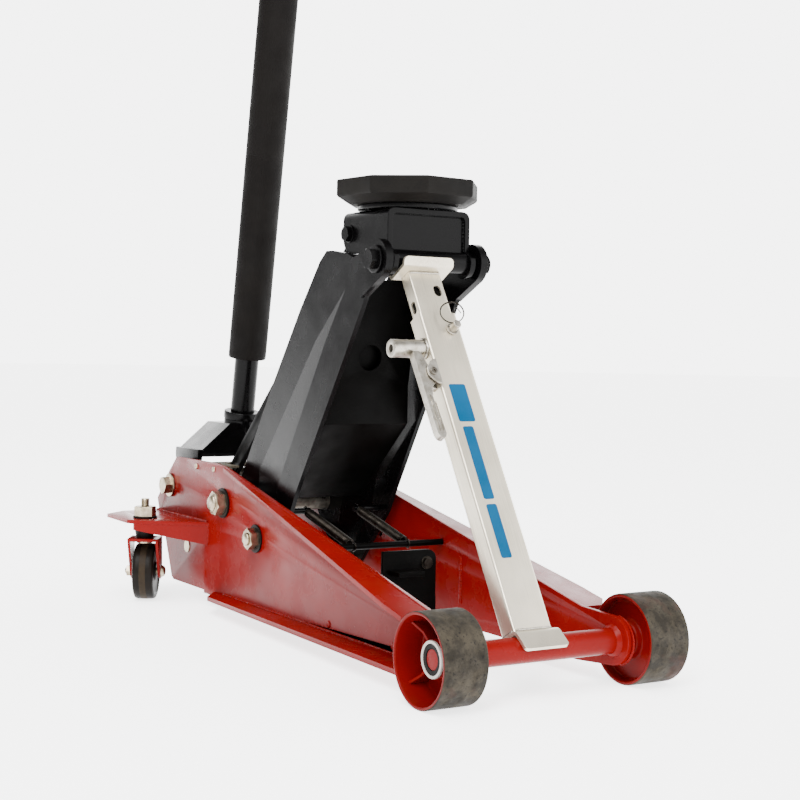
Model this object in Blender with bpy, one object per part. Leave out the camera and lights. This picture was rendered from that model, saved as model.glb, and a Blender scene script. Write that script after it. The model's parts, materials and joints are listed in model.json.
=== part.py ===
"""Trolley jack with a high lifting arm, held up by a telescopic safety rod.

Metres, +Z up, +X towards the lifting end, the floor at z = 0.  Places are given as distances from
the front axle; AXLE_X moves them so that the origin is below the middle of the whole jack.
"""

import math

import bmesh
import bpy
from mathutils import Matrix, Vector

# Driving dimensions
AXLE_X = 0.3975             # the front axle, ahead of the middle of the jack
GAP = 0.0003                # between pieces that touch
ROUND = 16                  # sides of a round piece

WHEEL_R = 0.050
WHEEL_IN, WHEEL_OUT = 0.105, 0.158
PLATE_IN, PLATE_OUT = 0.091, 0.097
FLANGE_T = 0.006
FLANGE_REAR, FLANGE_FRONT = -0.605, -0.055
TOP_Z, NOSE_Z = 0.199, 0.079
AXLE_R = 0.011
TUBE_R = 0.0142

PIVOT = (-0.606, 0.150)     # lifting arm on the frame (x, z)
HEAD = (-0.247, 0.468)      # lifting arm on the saddle bracket (x, z)
LINK_OFFSET = (-0.088, 0.035)
ARM_IN, ARM_OUT = 0.061, 0.067
ARM_SHAFT_R = 0.014
HEAD_SHAFT_R = 0.013
RAM_PIN = (-0.545, 0.077)
SPRING_BAR = (-0.345, 0.118)
SPRING_PEG = (-0.475, 0.150)
SPRING_Y = 0.039
RAM_Z = 0.077

YOKE = (-0.792, 0.159)      # handle on the frame (x, z)
HANDLE_FOOT = (-0.757, 0.262)
HANDLE_LEAN = math.radians(9.7)
HANDLE_R = 0.0174
SLEEVE_R = 0.0275

SWIVEL = (-0.743, 0.156)    # rear caster's upright axis (x, side y)
TRAIL = 0.016
CASTER_R = 0.040
CASTER_YAW = math.radians(31.0)
BRACKET_Z = 0.118

PAD_X = -0.295
PAD_R = 0.0887
PAD_TURN = math.radians(6.5)

ROD_FOOT = (-0.0027, 0.0666)    # front face of the safety rod at its base (x, z)
ROD_LEAN = math.radians(30.55)
ROD_Y = -0.012
ROD_HALF_W, ROD_T = 0.025, 0.025
ROD_LENGTH = 0.395
ROD_TOP = 0.4520


def clear_scene():
    for old in list(bpy.data.objects):
        bpy.data.objects.remove(old)


def material(name, color, roughness, metallic):
    made = bpy.data.materials.new(name)
    made.use_nodes = True
    shader = made.node_tree.nodes["Principled BSDF"]
    shader.inputs["Base Color"].default_value = (*color, 1.0)
    shader.inputs["Roughness"].default_value = roughness
    shader.inputs["Metallic"].default_value = metallic
    return made


clear_scene()
RED = material("red_paint", (0.52, 0.03, 0.02), 0.3, 0.0)
BLACK = material("black_paint", (0.012, 0.012, 0.012), 0.3, 0.0)
ZINC = material("zinc_plate", (0.62, 0.58, 0.50), 0.3, 1.0)
ALUMINIUM = material("brushed_aluminium", (0.80, 0.77, 0.70), 0.35, 1.0)
RUBBER = material("black_rubber", (0.02, 0.018, 0.016), 0.8, 0.0)
STEEL = material("bare_steel", (0.42, 0.40, 0.37), 0.35, 1.0)
TYRE = material("caster_tyre", (0.03, 0.022, 0.018), 0.6, 0.0)


# Solids ------------------------------------------------------------------------------------

def prism(points, along):
    """A closed solid: a flat outline pushed along a vector."""
    mesh = bmesh.new()
    low = [mesh.verts.new(Vector(p)) for p in points]
    high = [mesh.verts.new(Vector(p) + Vector(along)) for p in points]
    mesh.faces.new(low)
    mesh.faces.new(high[::-1])
    for i in range(len(points)):
        j = (i + 1) % len(points)
        mesh.faces.new((low[j], low[i], high[i], high[j]))
    bmesh.ops.recalc_face_normals(mesh, faces=mesh.faces)
    return mesh


def side_prism(outline, y0, y1):
    """An upright outline of (x from the axle, z), from y0 to y1."""
    return prism([(AXLE_X + x, y0, z) for x, z in outline], (0, y1 - y0, 0))


def plan_prism(outline, z0, z1):
    """A level outline of (x from the axle, y), from z0 to z1."""
    return prism([(AXLE_X + x, y, z0) for x, y in outline], (0, 0, z1 - z0))


def box(x0, x1, y0, y1, z0, z1):
    return plan_prism([(x0, y0), (x1, y0), (x1, y1), (x0, y1)], z0, z1)


def lathe(profile, base, axis, sides=ROUND):
    """Turns (radius, height) points about an axis; a ring profile is closed, others end on it."""
    axis = Vector(axis).normalized()
    upright = Vector((0, 0, 1)) - axis * axis.z
    across = upright.normalized() if upright.length > 1e-6 else Vector((1, 0, 0))
    other = axis.cross(across)
    base = Vector(base)
    mesh = bmesh.new()
    rings = []
    for radius, height in profile:
        centre = base + axis * height
        if radius < 1e-6:
            rings.append([mesh.verts.new(centre)] * sides)
            continue
        turns = [2 * math.pi * k / sides for k in range(sides)]
        rings.append([mesh.verts.new(centre + across * (radius * math.cos(a)) +
                                     other * (radius * math.sin(a))) for a in turns])
    ring_shape = profile[0][0] > 1e-6
    pairs = list(zip(rings, rings[1:] + rings[:1])) if ring_shape else list(zip(rings, rings[1:]))
    for first, second in pairs:
        for k in range(sides):
            n = (k + 1) % sides
            corners = []
            for vert in (first[k], first[n], second[n], second[k]):
                if vert not in corners:
                    corners.append(vert)
            if len(corners) > 2:
                mesh.faces.new(corners)
    bmesh.ops.recalc_face_normals(mesh, faces=mesh.faces)
    return mesh


def rod_solid(base, axis, length, radius, sides=ROUND, chamfer=0.0):
    c = chamfer
    profile = [(0, 0), (radius, 0), (radius, length), (0, length)]
    if c:
        profile[1:3] = [(radius - c, 0), (radius, c), (radius, length - c), (radius - c, length)]
    return lathe(profile, base, axis, sides)


def ring_solid(base, axis, length, outer, inner, sides=ROUND):
    return lathe([(inner, 0), (outer, 0), (outer, length), (inner, length)], base, axis, sides)


def circle(cx, cz, radius, start=0.0, end=360.0, steps=14):
    """Arc points round (cx, cz), in degrees, both ends included unless it is a whole circle."""
    whole = abs(end - start) >= 360.0
    count = steps if whole else steps + 1
    angles = [math.radians(start + (end - start) * k / steps) for k in range(count)]
    return [(cx + radius * math.cos(a), cz + radius * math.sin(a)) for a in angles]


def add(name, mesh, look, pivot=(0, 0, 0), smooth=True):
    """An object whose origin is at pivot."""
    data = bpy.data.meshes.new(name)
    bmesh.ops.translate(mesh, vec=-Vector(pivot), verts=mesh.verts)
    mesh.to_mesh(data)
    mesh.free()
    if smooth:
        data.shade_smooth()
        data.set_sharp_from_angle(angle=math.radians(35))
    data.materials.append(look)
    made = bpy.data.objects.new(name, data)
    made.location = pivot
    bpy.context.scene.collection.objects.link(made)
    return made


def boolean(target, mesh, kind):
    tool = add(target.name + "_" + kind.lower(), mesh, RED, smooth=False)
    tool.hide_render = True
    tool.display_type = "WIRE"
    step = target.modifiers.new(kind, "BOOLEAN")
    step.operation = kind
    step.solver = "EXACT"
    step.object = tool


def fuse(target, *meshes):
    for mesh in meshes:
        boolean(target, mesh, "UNION")


def cut(target, *meshes):
    for mesh in meshes:
        boolean(target, mesh, "DIFFERENCE")


def spot(place, y=0.0):
    """World point of an (x from the axle, z) pair."""
    return Vector((AXLE_X + place[0], y, place[1]))


def cross_hole(place, radius, y0=-0.3, y1=0.3):
    """A round cutter along Y."""
    return rod_solid(spot(place, y0), (0, 1, 0), y1 - y0, radius)


SIDES = (("right", -1), ("left", 1))


# Frame -------------------------------------------------------------------------------------

def top_line(x):
    """Height of the side plate's sloping top edge."""
    share = (x - FLANGE_REAR) / (FLANGE_FRONT - FLANGE_REAR)
    return TOP_Z + (NOSE_Z - TOP_Z) * share


def side_plate(name, side):
    nose = circle(0.0, 0.050, 0.027, 88, -85, 12)
    outline = nose + [(-0.060, 0.018), (-0.668, 0.018)]
    outline += [(-0.668, 0.106), (-0.700, 0.112), (-0.833, 0.112), (-0.843, 0.136)]
    outline += [(-0.798, 0.180), (-0.772, 0.202), (-0.640, 0.202), (FLANGE_REAR, TOP_Z)]
    outline += [(FLANGE_FRONT, NOSE_Z)]
    plate = add(name, side_prism(outline, side * PLATE_IN, side * PLATE_OUT), RED)
    recess_in, recess_out = side * 0.0825, side * (PLATE_IN + 0.0010)
    recess = [(-0.655, 0.020), (-0.655, 0.118), (-0.840, 0.118), (-0.838, 0.113), (-0.797, 0.024),
              (-0.790, 0.020)]
    root = PLATE_IN + 0.001
    rear, front = FLANGE_REAR + 0.0007, FLANGE_FRONT - 0.0007
    top = [(rear, side * (PLATE_OUT + 0.002)), (rear, side * root), (front, side * root),
           (front, side * (PLATE_OUT + 0.024)), (-0.072, side * 0.135), (-0.110, side * (PLATE_OUT + 0.038))]
    flange_points = [(AXLE_X + x, y, top_line(x) - 0.0006) for x, y in top]
    floor = [(-0.640, side * root), (-0.062, side * root), (-0.062, side * 0.125),
             (-0.078, side * 0.136), (-0.600, side * 0.122)]
    fuse(plate, side_prism(recess, recess_in, recess_out),
         prism(flange_points, (0, 0, -FLANGE_T)), plan_prism(floor, 0.0182, 0.0242))
    cut(plate, cross_hole((0, 0.050), AXLE_R + GAP, *sorted((side * 0.08, side * 0.11))),
        cross_hole(PIVOT, ARM_SHAFT_R * 0.8 + GAP, *sorted((side * 0.08, side * 0.11))),
        cross_hole(YOKE, 0.008 + GAP, *sorted((side * 0.08, side * 0.11))),
        cross_hole((-0.502, 0.113), 0.006 + GAP, *sorted((side * 0.08, side * 0.11))),
        cross_hole(SPRING_BAR, 0.004 + GAP, *sorted((side * 0.08, side * 0.094))))
    return plate


def caster_bracket(name, side):
    inner = PLATE_OUT + GAP
    shelf = [(-0.655, inner), (-0.718, 0.182), (-0.730, 0.188), (-0.815, 0.186), (-0.845, 0.150),
             (-0.845, inner)]
    shelf = [(x, side * y) for x, y in shelf]
    made = add(name, plan_prism(shelf, BRACKET_Z - 0.005, BRACKET_Z), RED)
    lower = BRACKET_Z - 0.0048
    root, tip = BRACKET_Z - 0.032, BRACKET_Z - 0.014
    front = [(AXLE_X + x, side * y, z) for x, y, z in
             ((-0.656, inner, lower), (-0.7185, 0.1815, lower),
              (-0.7185, 0.1815, tip), (-0.656, inner, root))]
    rear = [(AXLE_X - 0.845, side * y, z) for y, z in
            ((inner, lower), (0.150, lower), (0.150, tip), (inner, root))]
    fuse(made, prism(front, (-0.005, 0, 0)), prism(rear, (0.005, 0, 0)))
    cut(made, rod_solid((AXLE_X + SWIVEL[0], side * SWIVEL[1], 0.08), (0, 0, 1), 0.08, 0.0063))
    return made


def frame_parts():
    for word, side in SIDES:
        side_plate("side_plate_" + word, side)
        caster_bracket("caster_bracket_" + word, side)
    reach = WHEEL_OUT - 0.017
    add("front_axle", rod_solid(spot((0, 0.050), -reach), (0, 1, 0), 2 * reach, AXLE_R, chamfer=0.001), RED)
    add("axle_tube", ring_solid(spot((0, 0.050), -PLATE_IN + GAP), (0, 1, 0), 2 * (PLATE_IN - GAP),
                                TUBE_R, AXLE_R + GAP), RED)
    cover = add("rear_cover", box(-0.736, -0.660, -PLATE_IN + GAP, PLATE_IN - GAP, 0.193, 0.196), STEEL)
    fuse(cover, *[box(-0.736, -0.660, *sorted((s * (PLATE_IN - GAP), s * (PLATE_IN - 0.0035))), 0.180, 0.1935)
                  for s in (-1, 1)])
    cut(cover, cross_hole((PIVOT[0] + LINK_OFFSET[0], PIVOT[1] + LINK_OFFSET[1]), 0.0066))
    cut(cover, *[box(-0.712, -0.650, *sorted((s * 0.035, s * 0.049)), 0.17, 0.21) for s in (-1, 1)])
    shelf = add("cross_bracket", box(-0.280, -0.275, -PLATE_IN + GAP, 0.038, 0.030, 0.062), BLACK)
    upright = [(-0.038, 0.0615), (0.0375, 0.0615), (0.0375, 0.108)] + circle(0.0255, 0.108, 0.012, 0, 90, 5)
    upright += [(-0.038, 0.120)]
    fuse(shelf, prism([(AXLE_X - 0.280, y, z) for y, z in upright], (0.005, 0, 0)),
         box(-0.2755, -0.250, -0.030, 0.006, 0.092, 0.097))
    bar = PLATE_IN - 0.0005
    add("spring_bar", rod_solid(spot(SPRING_BAR, -bar), (0, 1, 0), 2 * bar, 0.004, 12), BLACK)


# Wheels ------------------------------------------------------------------------------------

def front_wheel(name, side):
    """Flanged steel wheel, dished on its outer side, with six ribs behind the rim."""
    width = WHEEL_OUT - WHEEL_IN
    profile = [(AXLE_R + 0.0004, 0.004), (0.019, 0.004), (0.019, 0.012), (0.044, 0.012), (0.044, 0.0),
               (WHEEL_R - 0.0025, 0.0), (WHEEL_R, 0.0025), (WHEEL_R, width - 0.0025),
               (WHEEL_R - 0.0025, width), (0.044, width), (0.044, 0.020), (0.0215, 0.020), (0.0215, 0.034),
               (AXLE_R + 0.0004, 0.034)]
    centre = spot((0, 0.050), side * WHEEL_IN)
    wheel = add(name, lathe(profile, centre, (0, side, 0), 28), RED, pivot=spot((0, 0.050), side * 0.13))
    ribs = []
    for k in range(6):
        turn = math.radians(60 * k + 30)
        along = Vector((math.cos(turn), 0, math.sin(turn)))
        across = Vector((-math.sin(turn), 0, math.cos(turn))) * 0.002
        start, end = centre + along * 0.0205, centre + along * 0.0450
        low, high = Vector((0, side * 0.0195, 0)), Vector((0, side * 0.034, 0))
        tip = Vector((0, side * 0.046, 0))
        corners = (start + low, end + low, end + tip, start + high)
        ribs.append(prism([corner - across for corner in corners], across * 2))
    fuse(wheel, *ribs)
    collar_y = side * (WHEEL_IN + 0.034 + GAP)
    add(name.replace("wheel", "wheel_collar"),
        ring_solid(spot((0, 0.050), collar_y), (0, side, 0), 0.003, 0.0195, AXLE_R + 0.0004), ZINC)


def caster(word, side):
    """Swivelling rear caster: fork, stud, wheel and axle bolt."""
    pivot = Vector((AXLE_X + SWIVEL[0], side * SWIVEL[1], 0.0))
    back = Vector((-math.cos(CASTER_YAW), -side * math.sin(CASTER_YAW), 0.0))
    across = Vector((0, 0, 1)).cross(back)
    wheel_at = pivot + back * TRAIL + Vector((0, 0, CASTER_R))

    def place(a, b, z):
        return pivot + back * a + across * b + Vector((0, 0, z))

    top = [place(-0.020, -0.0215, 0.086), place(0.022, -0.0215, 0.086), place(0.022, 0.0215, 0.086),
           place(-0.020, 0.0215, 0.086)]
    fork = add("caster_fork_" + word, prism(top, (0, 0, 0.004)), RED, pivot=pivot)
    for sign in (-1, 1):
        cheek = [place(-0.020, sign * 0.0215, 0.0865), place(0.022, sign * 0.0215, 0.0865),
                 place(TRAIL + 0.010, sign * 0.0215, 0.034), place(TRAIL, sign * 0.0215, 0.029),
                 place(TRAIL - 0.010, sign * 0.0215, 0.034)]
        fuse(fork, prism(cheek, across * (-sign * 0.0035)))
    cut(fork, rod_solid(wheel_at - across * 0.04, across, 0.08, 0.0043, 16),
        rod_solid(pivot + Vector((0, 0, 0.08)), (0, 0, 1), 0.02, 0.0064, 16))
    fuse(fork, lathe([(0.0064, -0.0002), (0.011, -0.0002), (0.016, 0.0226), (0.0064, 0.0226)],
                     pivot + Vector((0, 0, 0.0900)), (0, 0, 1), 12))
    nut_z = BRACKET_Z + GAP - 0.0826
    stud = [(0, 0.0), (0.011, 0.0), (0.011, 0.003), (0.006, 0.003), (0.006, nut_z), (0.0165, nut_z),
            (0.0165, nut_z + 0.0025), (0.0125, nut_z + 0.003), (0.0125, nut_z + 0.0145),
            (0.0105, nut_z + 0.016), (0.006, nut_z + 0.016), (0.006, nut_z + 0.028), (0, nut_z + 0.028)]
    add("caster_stud_" + word, lathe(stud, pivot + Vector((0, 0, 0.0826)), (0, 0, 1), 16), ZINC)
    half = 0.0150
    near = [(0.0052, -half), (0.012, -half), (0.013, -half + 0.002), (0.030, -half + 0.002), (0.035, -half),
            (0.0385, -half + 0.002), (CASTER_R, -half + 0.006)]
    tread = near + [(radius, -height) for radius, height in near[::-1]]
    add("caster_wheel_" + word, lathe(tread, wheel_at, across, 20), TYRE, pivot=wheel_at)
    bolt = [(0, -0.0275), (0.005, -0.0275), (0.0075, -0.0255), (0.0085, -0.0218), (0.0040, -0.0218),
            (0.0040, 0.0218), (0.0085, 0.0218), (0.0085, 0.0275), (0.004, 0.0275), (0.004, 0.030), (0, 0.030)]
    add("caster_axle_" + word, lathe(bolt, wheel_at, across, 12), ZINC)


# Hydraulics --------------------------------------------------------------------------------

def hydraulics():
    block = add("pump_block", box(-0.772, -0.722, -0.034, 0.034, 0.044, 0.104), BLACK)
    fuse(block, box(-0.744, -0.7225, -0.033, 0.033, 0.1035, 0.146),
         box(-0.765, -0.730, -PLATE_IN + 0.009, PLATE_IN - 0.009, 0.050, 0.066))
    cut(block, rod_solid(spot((-0.80, 0.129)), (1, 0, 0), 0.090, 0.0084, 12),
        rod_solid(spot((-0.80, 0.085), 0.021), (1, 0, 0), 0.060, 0.0054, 16),
        rod_solid(spot((-0.740, RAM_Z)), (1, 0, 0), 0.08, 0.0275))
    tube = [(0.0164, 0.0), (0.027, 0.0), (0.027, 0.140), (0.024, 0.143), (0.0164, 0.143)]
    add("hydraulic_cylinder", lathe(tube, spot((-0.7395, RAM_Z)), (1, 0, 0)), BLACK)
    ram = [(0, 0.0), (0.016, 0.0), (0.016, 0.154), (0.020, 0.156), (0.020, 0.166), (0, 0.166)]
    ram_at = spot((RAM_PIN[0] - 0.1752, RAM_Z))
    add("lifting_ram", lathe(ram, ram_at, (1, 0, 0)), STEEL, pivot=ram_at)
    plunger = [(0, 0.0), (0.012, 0.0), (0.012, 0.005), (0.008, 0.005), (0.008, 0.050), (0, 0.050)]
    head_x = YOKE[0] + 0.0115
    add("pump_plunger", lathe(plunger, spot((head_x, 0.129)), (1, 0, 0), 12), STEEL,
        pivot=spot((head_x, 0.129)))
    valve = [(0, 0.0), (0.007, 0.0), (0.007, 0.008), (0.005, 0.008), (0.005, 0.030), (0, 0.030)]
    valve_at = spot((-0.7810, 0.085), 0.021)
    add("release_valve", lathe(valve, valve_at, (1, 0, 0), 12), ZINC, pivot=valve_at)


# Lifting arm -------------------------------------------------------------------------------

ARM_DIR = (Vector(HEAD) - Vector(PIVOT)).normalized()
ARM_LENGTH = (Vector(HEAD) - Vector(PIVOT)).length


def on_arm(s, t):
    """(x from the axle, z) of a point s along the arm from its pivot and t above that line."""
    return (PIVOT[0] + s * ARM_DIR.x - t * ARM_DIR.y, PIVOT[1] + s * ARM_DIR.y + t * ARM_DIR.x)


def arm_plate(name, side):
    """Folded plate: a rear strip, a sloping web and a front band that stands out more lower down."""
    stations = [
        ((-0.034, -0.020), (-0.022, -0.070), (-0.016, -0.092), (-0.004, -0.117), 0.009),
        ((-0.020, 0.022), (0.040, -0.030), (0.090, -0.075), (0.115, -0.105), 0.009),
        ((0.025, 0.033), (0.067, 0.004), (0.117, -0.055), (0.147, -0.094), 0.009),
        ((0.160, 0.064), (0.194, 0.022), (0.237, -0.018), (0.290, -0.055), 0.006),
        ((0.294, 0.0895), (0.300, 0.031), (0.320, 0.009), (0.345, -0.037), 0.003),
        ((0.372, 0.100), (0.395, 0.037), (0.399, 0.028), (0.421, -0.014), 0.0004),
        ((0.393, 0.098), (0.420, 0.050), (0.432, 0.028), (0.450, -0.004), 0.0),
        ((0.404, 0.088), (0.428, 0.060), (0.440, 0.038), (0.468, 0.004), 0.0),
    ]
    mesh = bmesh.new()
    grid = []
    for *points, step in stations:
        steps = (0.0, 0.0, step, step)
        row = [[mesh.verts.new(spot(on_arm(*p), side * (face + d))) for p, d in zip(points, steps)]
               for face in (ARM_OUT, ARM_IN)]
        grid.append(row)
    last = len(stations) - 1
    for face in (0, 1):
        for r in range(last):
            for c in range(3):
                mesh.faces.new((grid[r][face][c], grid[r][face][c + 1], grid[r + 1][face][c + 1],
                                grid[r + 1][face][c]))
    for r in range(last):
        for c in (0, 3):
            mesh.faces.new((grid[r][0][c], grid[r + 1][0][c], grid[r + 1][1][c], grid[r][1][c]))
    for r in (0, last):
        for c in range(3):
            mesh.faces.new((grid[r][0][c], grid[r][0][c + 1], grid[r][1][c + 1], grid[r][1][c]))
    bmesh.ops.recalc_face_normals(mesh, faces=mesh.faces)
    arm = add(name, mesh, BLACK, pivot=spot(PIVOT))
    ear_centre = on_arm(ARM_LENGTH, 0)
    ear = [on_arm(0.418, 0.050), on_arm(0.424, -0.010)]
    lobe = [on_arm(ARM_LENGTH + 0.024 * math.cos(a), 0.024 * math.sin(a))
            for a in [math.radians(-100 + 200 * k / 14) for k in range(15)]]
    inner, outer = side * (ARM_IN + 0.0002), side * (ARM_OUT + 0.004)
    peg_in, peg_out = side * (SPRING_Y - 0.006), ARM_IN + 0.010
    fuse(arm, side_prism(ear + lobe, inner, outer),
         rod_solid(spot(SPRING_PEG, peg_in), (0, side, 0), peg_out - abs(peg_in), 0.004, 12),
         rod_solid(spot(PIVOT, side * (ARM_IN + 0.0003)), (0, side, 0), 0.0275, 0.030))
    cut(arm, cross_hole(PIVOT, ARM_SHAFT_R + GAP), cross_hole(ear_centre, HEAD_SHAFT_R + GAP),
        cross_hole(RAM_PIN, 0.0083))
    return arm


def lifting_arm():
    for word, side in SIDES:
        arm_plate("lift_arm_" + word, side)
    half = ARM_IN - GAP
    web = [(-0.5040, 0.164), (-0.3855, 0.268), (-0.3855, 0.316), (-0.3600, 0.450), (-0.3650, 0.450),
           (-0.3905, 0.317), (-0.3905, 0.271), (-0.5070, 0.168)]
    plate = add("arm_web", side_prism(web, -half, half), BLACK, pivot=spot(PIVOT))
    cut(plate, rod_solid(spot((-0.420, 0.352)), (1, 0, 0), 0.08, 0.016))
    inside, face, neck = PLATE_IN - GAP, PLATE_OUT + GAP, ARM_SHAFT_R * 0.8
    half_shaft = [(0.0, face + 0.021), (0.008, face + 0.021), (0.011, face + 0.019), (0.011, face + 0.015),
                  (0.0145, face + 0.015), (0.0165, face + 0.0135), (0.0165, face + 0.003),
                  (0.0205, face + 0.003), (0.0205, face), (neck, face), (neck, inside),
                  (ARM_SHAFT_R, inside)]
    shaft = half_shaft + [(r, -y) for r, y in half_shaft[::-1]]
    add("arm_shaft", lathe(shaft, spot(PIVOT), (0, 1, 0), 12), ZINC)
    for word, side in SIDES:
        y = side * (PLATE_OUT + GAP)
        small = [(0, -0.0058), (0.006, -0.0058), (0.006, 0.0), (0.0185, 0.0), (0.0185, 0.002),
                 (0.0140, 0.002), (0.0140, 0.012), (0.0125, 0.0135), (0.0085, 0.0135), (0.0085, 0.0165),
                 (0, 0.018)]
        add("tie_bolt_" + word, lathe(small, spot((-0.502, 0.113), y), (0, side, 0), 12), ZINC)
    add("ram_pin", rod_solid(spot(RAM_PIN, -0.079), (0, 1, 0), 0.158, 0.008, 12), STEEL)
    for word, side in SIDES:
        low = (PIVOT[0] + LINK_OFFSET[0], PIVOT[1] + LINK_OFFSET[1])
        high = (HEAD[0] + LINK_OFFSET[0], HEAD[1] + LINK_OFFSET[1])
        along = math.degrees(math.atan2(high[1] - low[1], high[0] - low[0]))
        outline = circle(*low, 0.011, along + 90, along + 270, 8)
        outline += circle(*high, 0.011, along - 90, along + 90, 8)
        inner, outer = side * 0.0385, side * 0.0455
        bar = add("link_bar_" + word, side_prism(outline, inner, outer), BLACK, pivot=spot(low))
        cut(bar, cross_hole(low, 0.0066), cross_hole(high, 0.0066))
    pin_at = (PIVOT[0] + LINK_OFFSET[0], PIVOT[1] + LINK_OFFSET[1])
    add("link_pin", rod_solid(spot(pin_at, -0.0905), (0, 1, 0), 0.181, 0.006, 16), STEEL)


def return_springs():
    """Each spring runs from the bar on the frame to a peg on the lifting arm, as a plain tube."""
    low, high = spot(SPRING_BAR), spot(SPRING_PEG)
    axis = (high - low).normalized()
    length = (high - low).length - 0.010
    for word, side in SIDES:
        start = low + axis * 0.005 + Vector((0, side * SPRING_Y, 0))
        add("return_spring_" + word, ring_solid(start, axis, length, 0.0065, 0.0045, 12), STEEL)


# Saddle ------------------------------------------------------------------------------------

def saddle():
    x0, x1, z0, z1 = -0.352, -0.244, 0.478, 0.530
    half = 0.0575
    outline = [(x1, z0), (x1, z1), (x0, z1)] + circle(x0 + 0.022, z0 + 0.022, 0.022, 180, 270, 5)
    bracket = add("saddle_bracket", side_prism(outline, -half, half), BLACK, pivot=spot(HEAD))
    lobe = circle(*HEAD, 0.0185, -190, 20, 14)
    lobe += [(HEAD[0] + 0.003, z0 + 0.012), (HEAD[0] - 0.026, z0 + 0.012)]
    cut(bracket, box(x0 - 0.02, x1 - 0.006, -half + 0.008, half - 0.008, z0 - 0.01, z1 - 0.006))
    fuse(bracket, *[side_prism(lobe, s * (half - 0.0001), s * (half - 0.0078)) for s in (-1, 1)])
    cut(bracket, cross_hole(HEAD, HEAD_SHAFT_R + GAP),
        cross_hole((HEAD[0] + LINK_OFFSET[0], HEAD[1] + LINK_OFFSET[1]), 0.0063),
        rod_solid(spot((PAD_X, 0.50)), (0, 0, 1), 0.06, 0.0144))
    reach = ARM_OUT + 0.0045
    half_shaft = [(0.0, reach + 0.012), (0.010, reach + 0.012), (0.0125, reach + 0.010),
                  (0.0125, reach + 0.003), (0.0165, reach + 0.003), (0.0165, reach), (HEAD_SHAFT_R, reach)]
    shaft = half_shaft + [(r, -y) for r, y in half_shaft[::-1]]
    add("saddle_shaft", lathe(shaft, spot(HEAD), (0, 1, 0), 16), BLACK)
    bolt = [(0, -0.0655), (0.010, -0.0655), (0.010, -0.0582), (0.006, -0.0582), (0.006, 0.0582),
            (0.010, 0.0582), (0.010, 0.0645), (0, 0.0645)]
    link_at = (HEAD[0] + LINK_OFFSET[0], HEAD[1] + LINK_OFFSET[1])
    add("link_bolt", lathe(bolt, spot(link_at), (0, 1, 0), 12), BLACK)
    seat = spot((PAD_X, z1))
    under = -0.006 - 0.0004
    plate = [(0, under - 0.013), (0.009, under - 0.013), (0.009, under - 0.009), (0.019, under - 0.009),
             (0.019, under), (0.014, under), (0.014, 0.0008), (0.061, 0.0008), (0.061, 0.0068), (0, 0.0068)]
    add("saddle_plate", lathe(plate, seat, (0, 0, 1)), BLACK, pivot=seat)
    base = seat + Vector((0, 0, 0.0071))
    pad = bmesh.new()
    levels = ((0.0, 0.074), (0.008, PAD_R - 0.001), (0.010, PAD_R), (0.0272, PAD_R), (0.0292, PAD_R - 0.002))
    rings = []
    for height, radius in levels:
        turns = [PAD_TURN + math.radians(22.5 + 45 * k) for k in range(8)]
        rings.append([pad.verts.new(base + Vector((radius * math.cos(a), radius * math.sin(a), height)))
                      for a in turns])
    pad.faces.new(rings[0])
    pad.faces.new(rings[-1])
    for low, high in zip(rings, rings[1:]):
        for k in range(8):
            pad.faces.new((low[k], low[(k + 1) % 8], high[(k + 1) % 8], high[k]))
    bmesh.ops.recalc_face_normals(pad, faces=pad.faces)
    add("saddle_pad", pad, RUBBER, pivot=base, smooth=False)


# Handle ------------------------------------------------------------------------------------

HANDLE_DIR = Vector((math.sin(HANDLE_LEAN), 0, math.cos(HANDLE_LEAN)))


def on_handle(s):
    return spot(HANDLE_FOOT) + HANDLE_DIR * s


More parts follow.
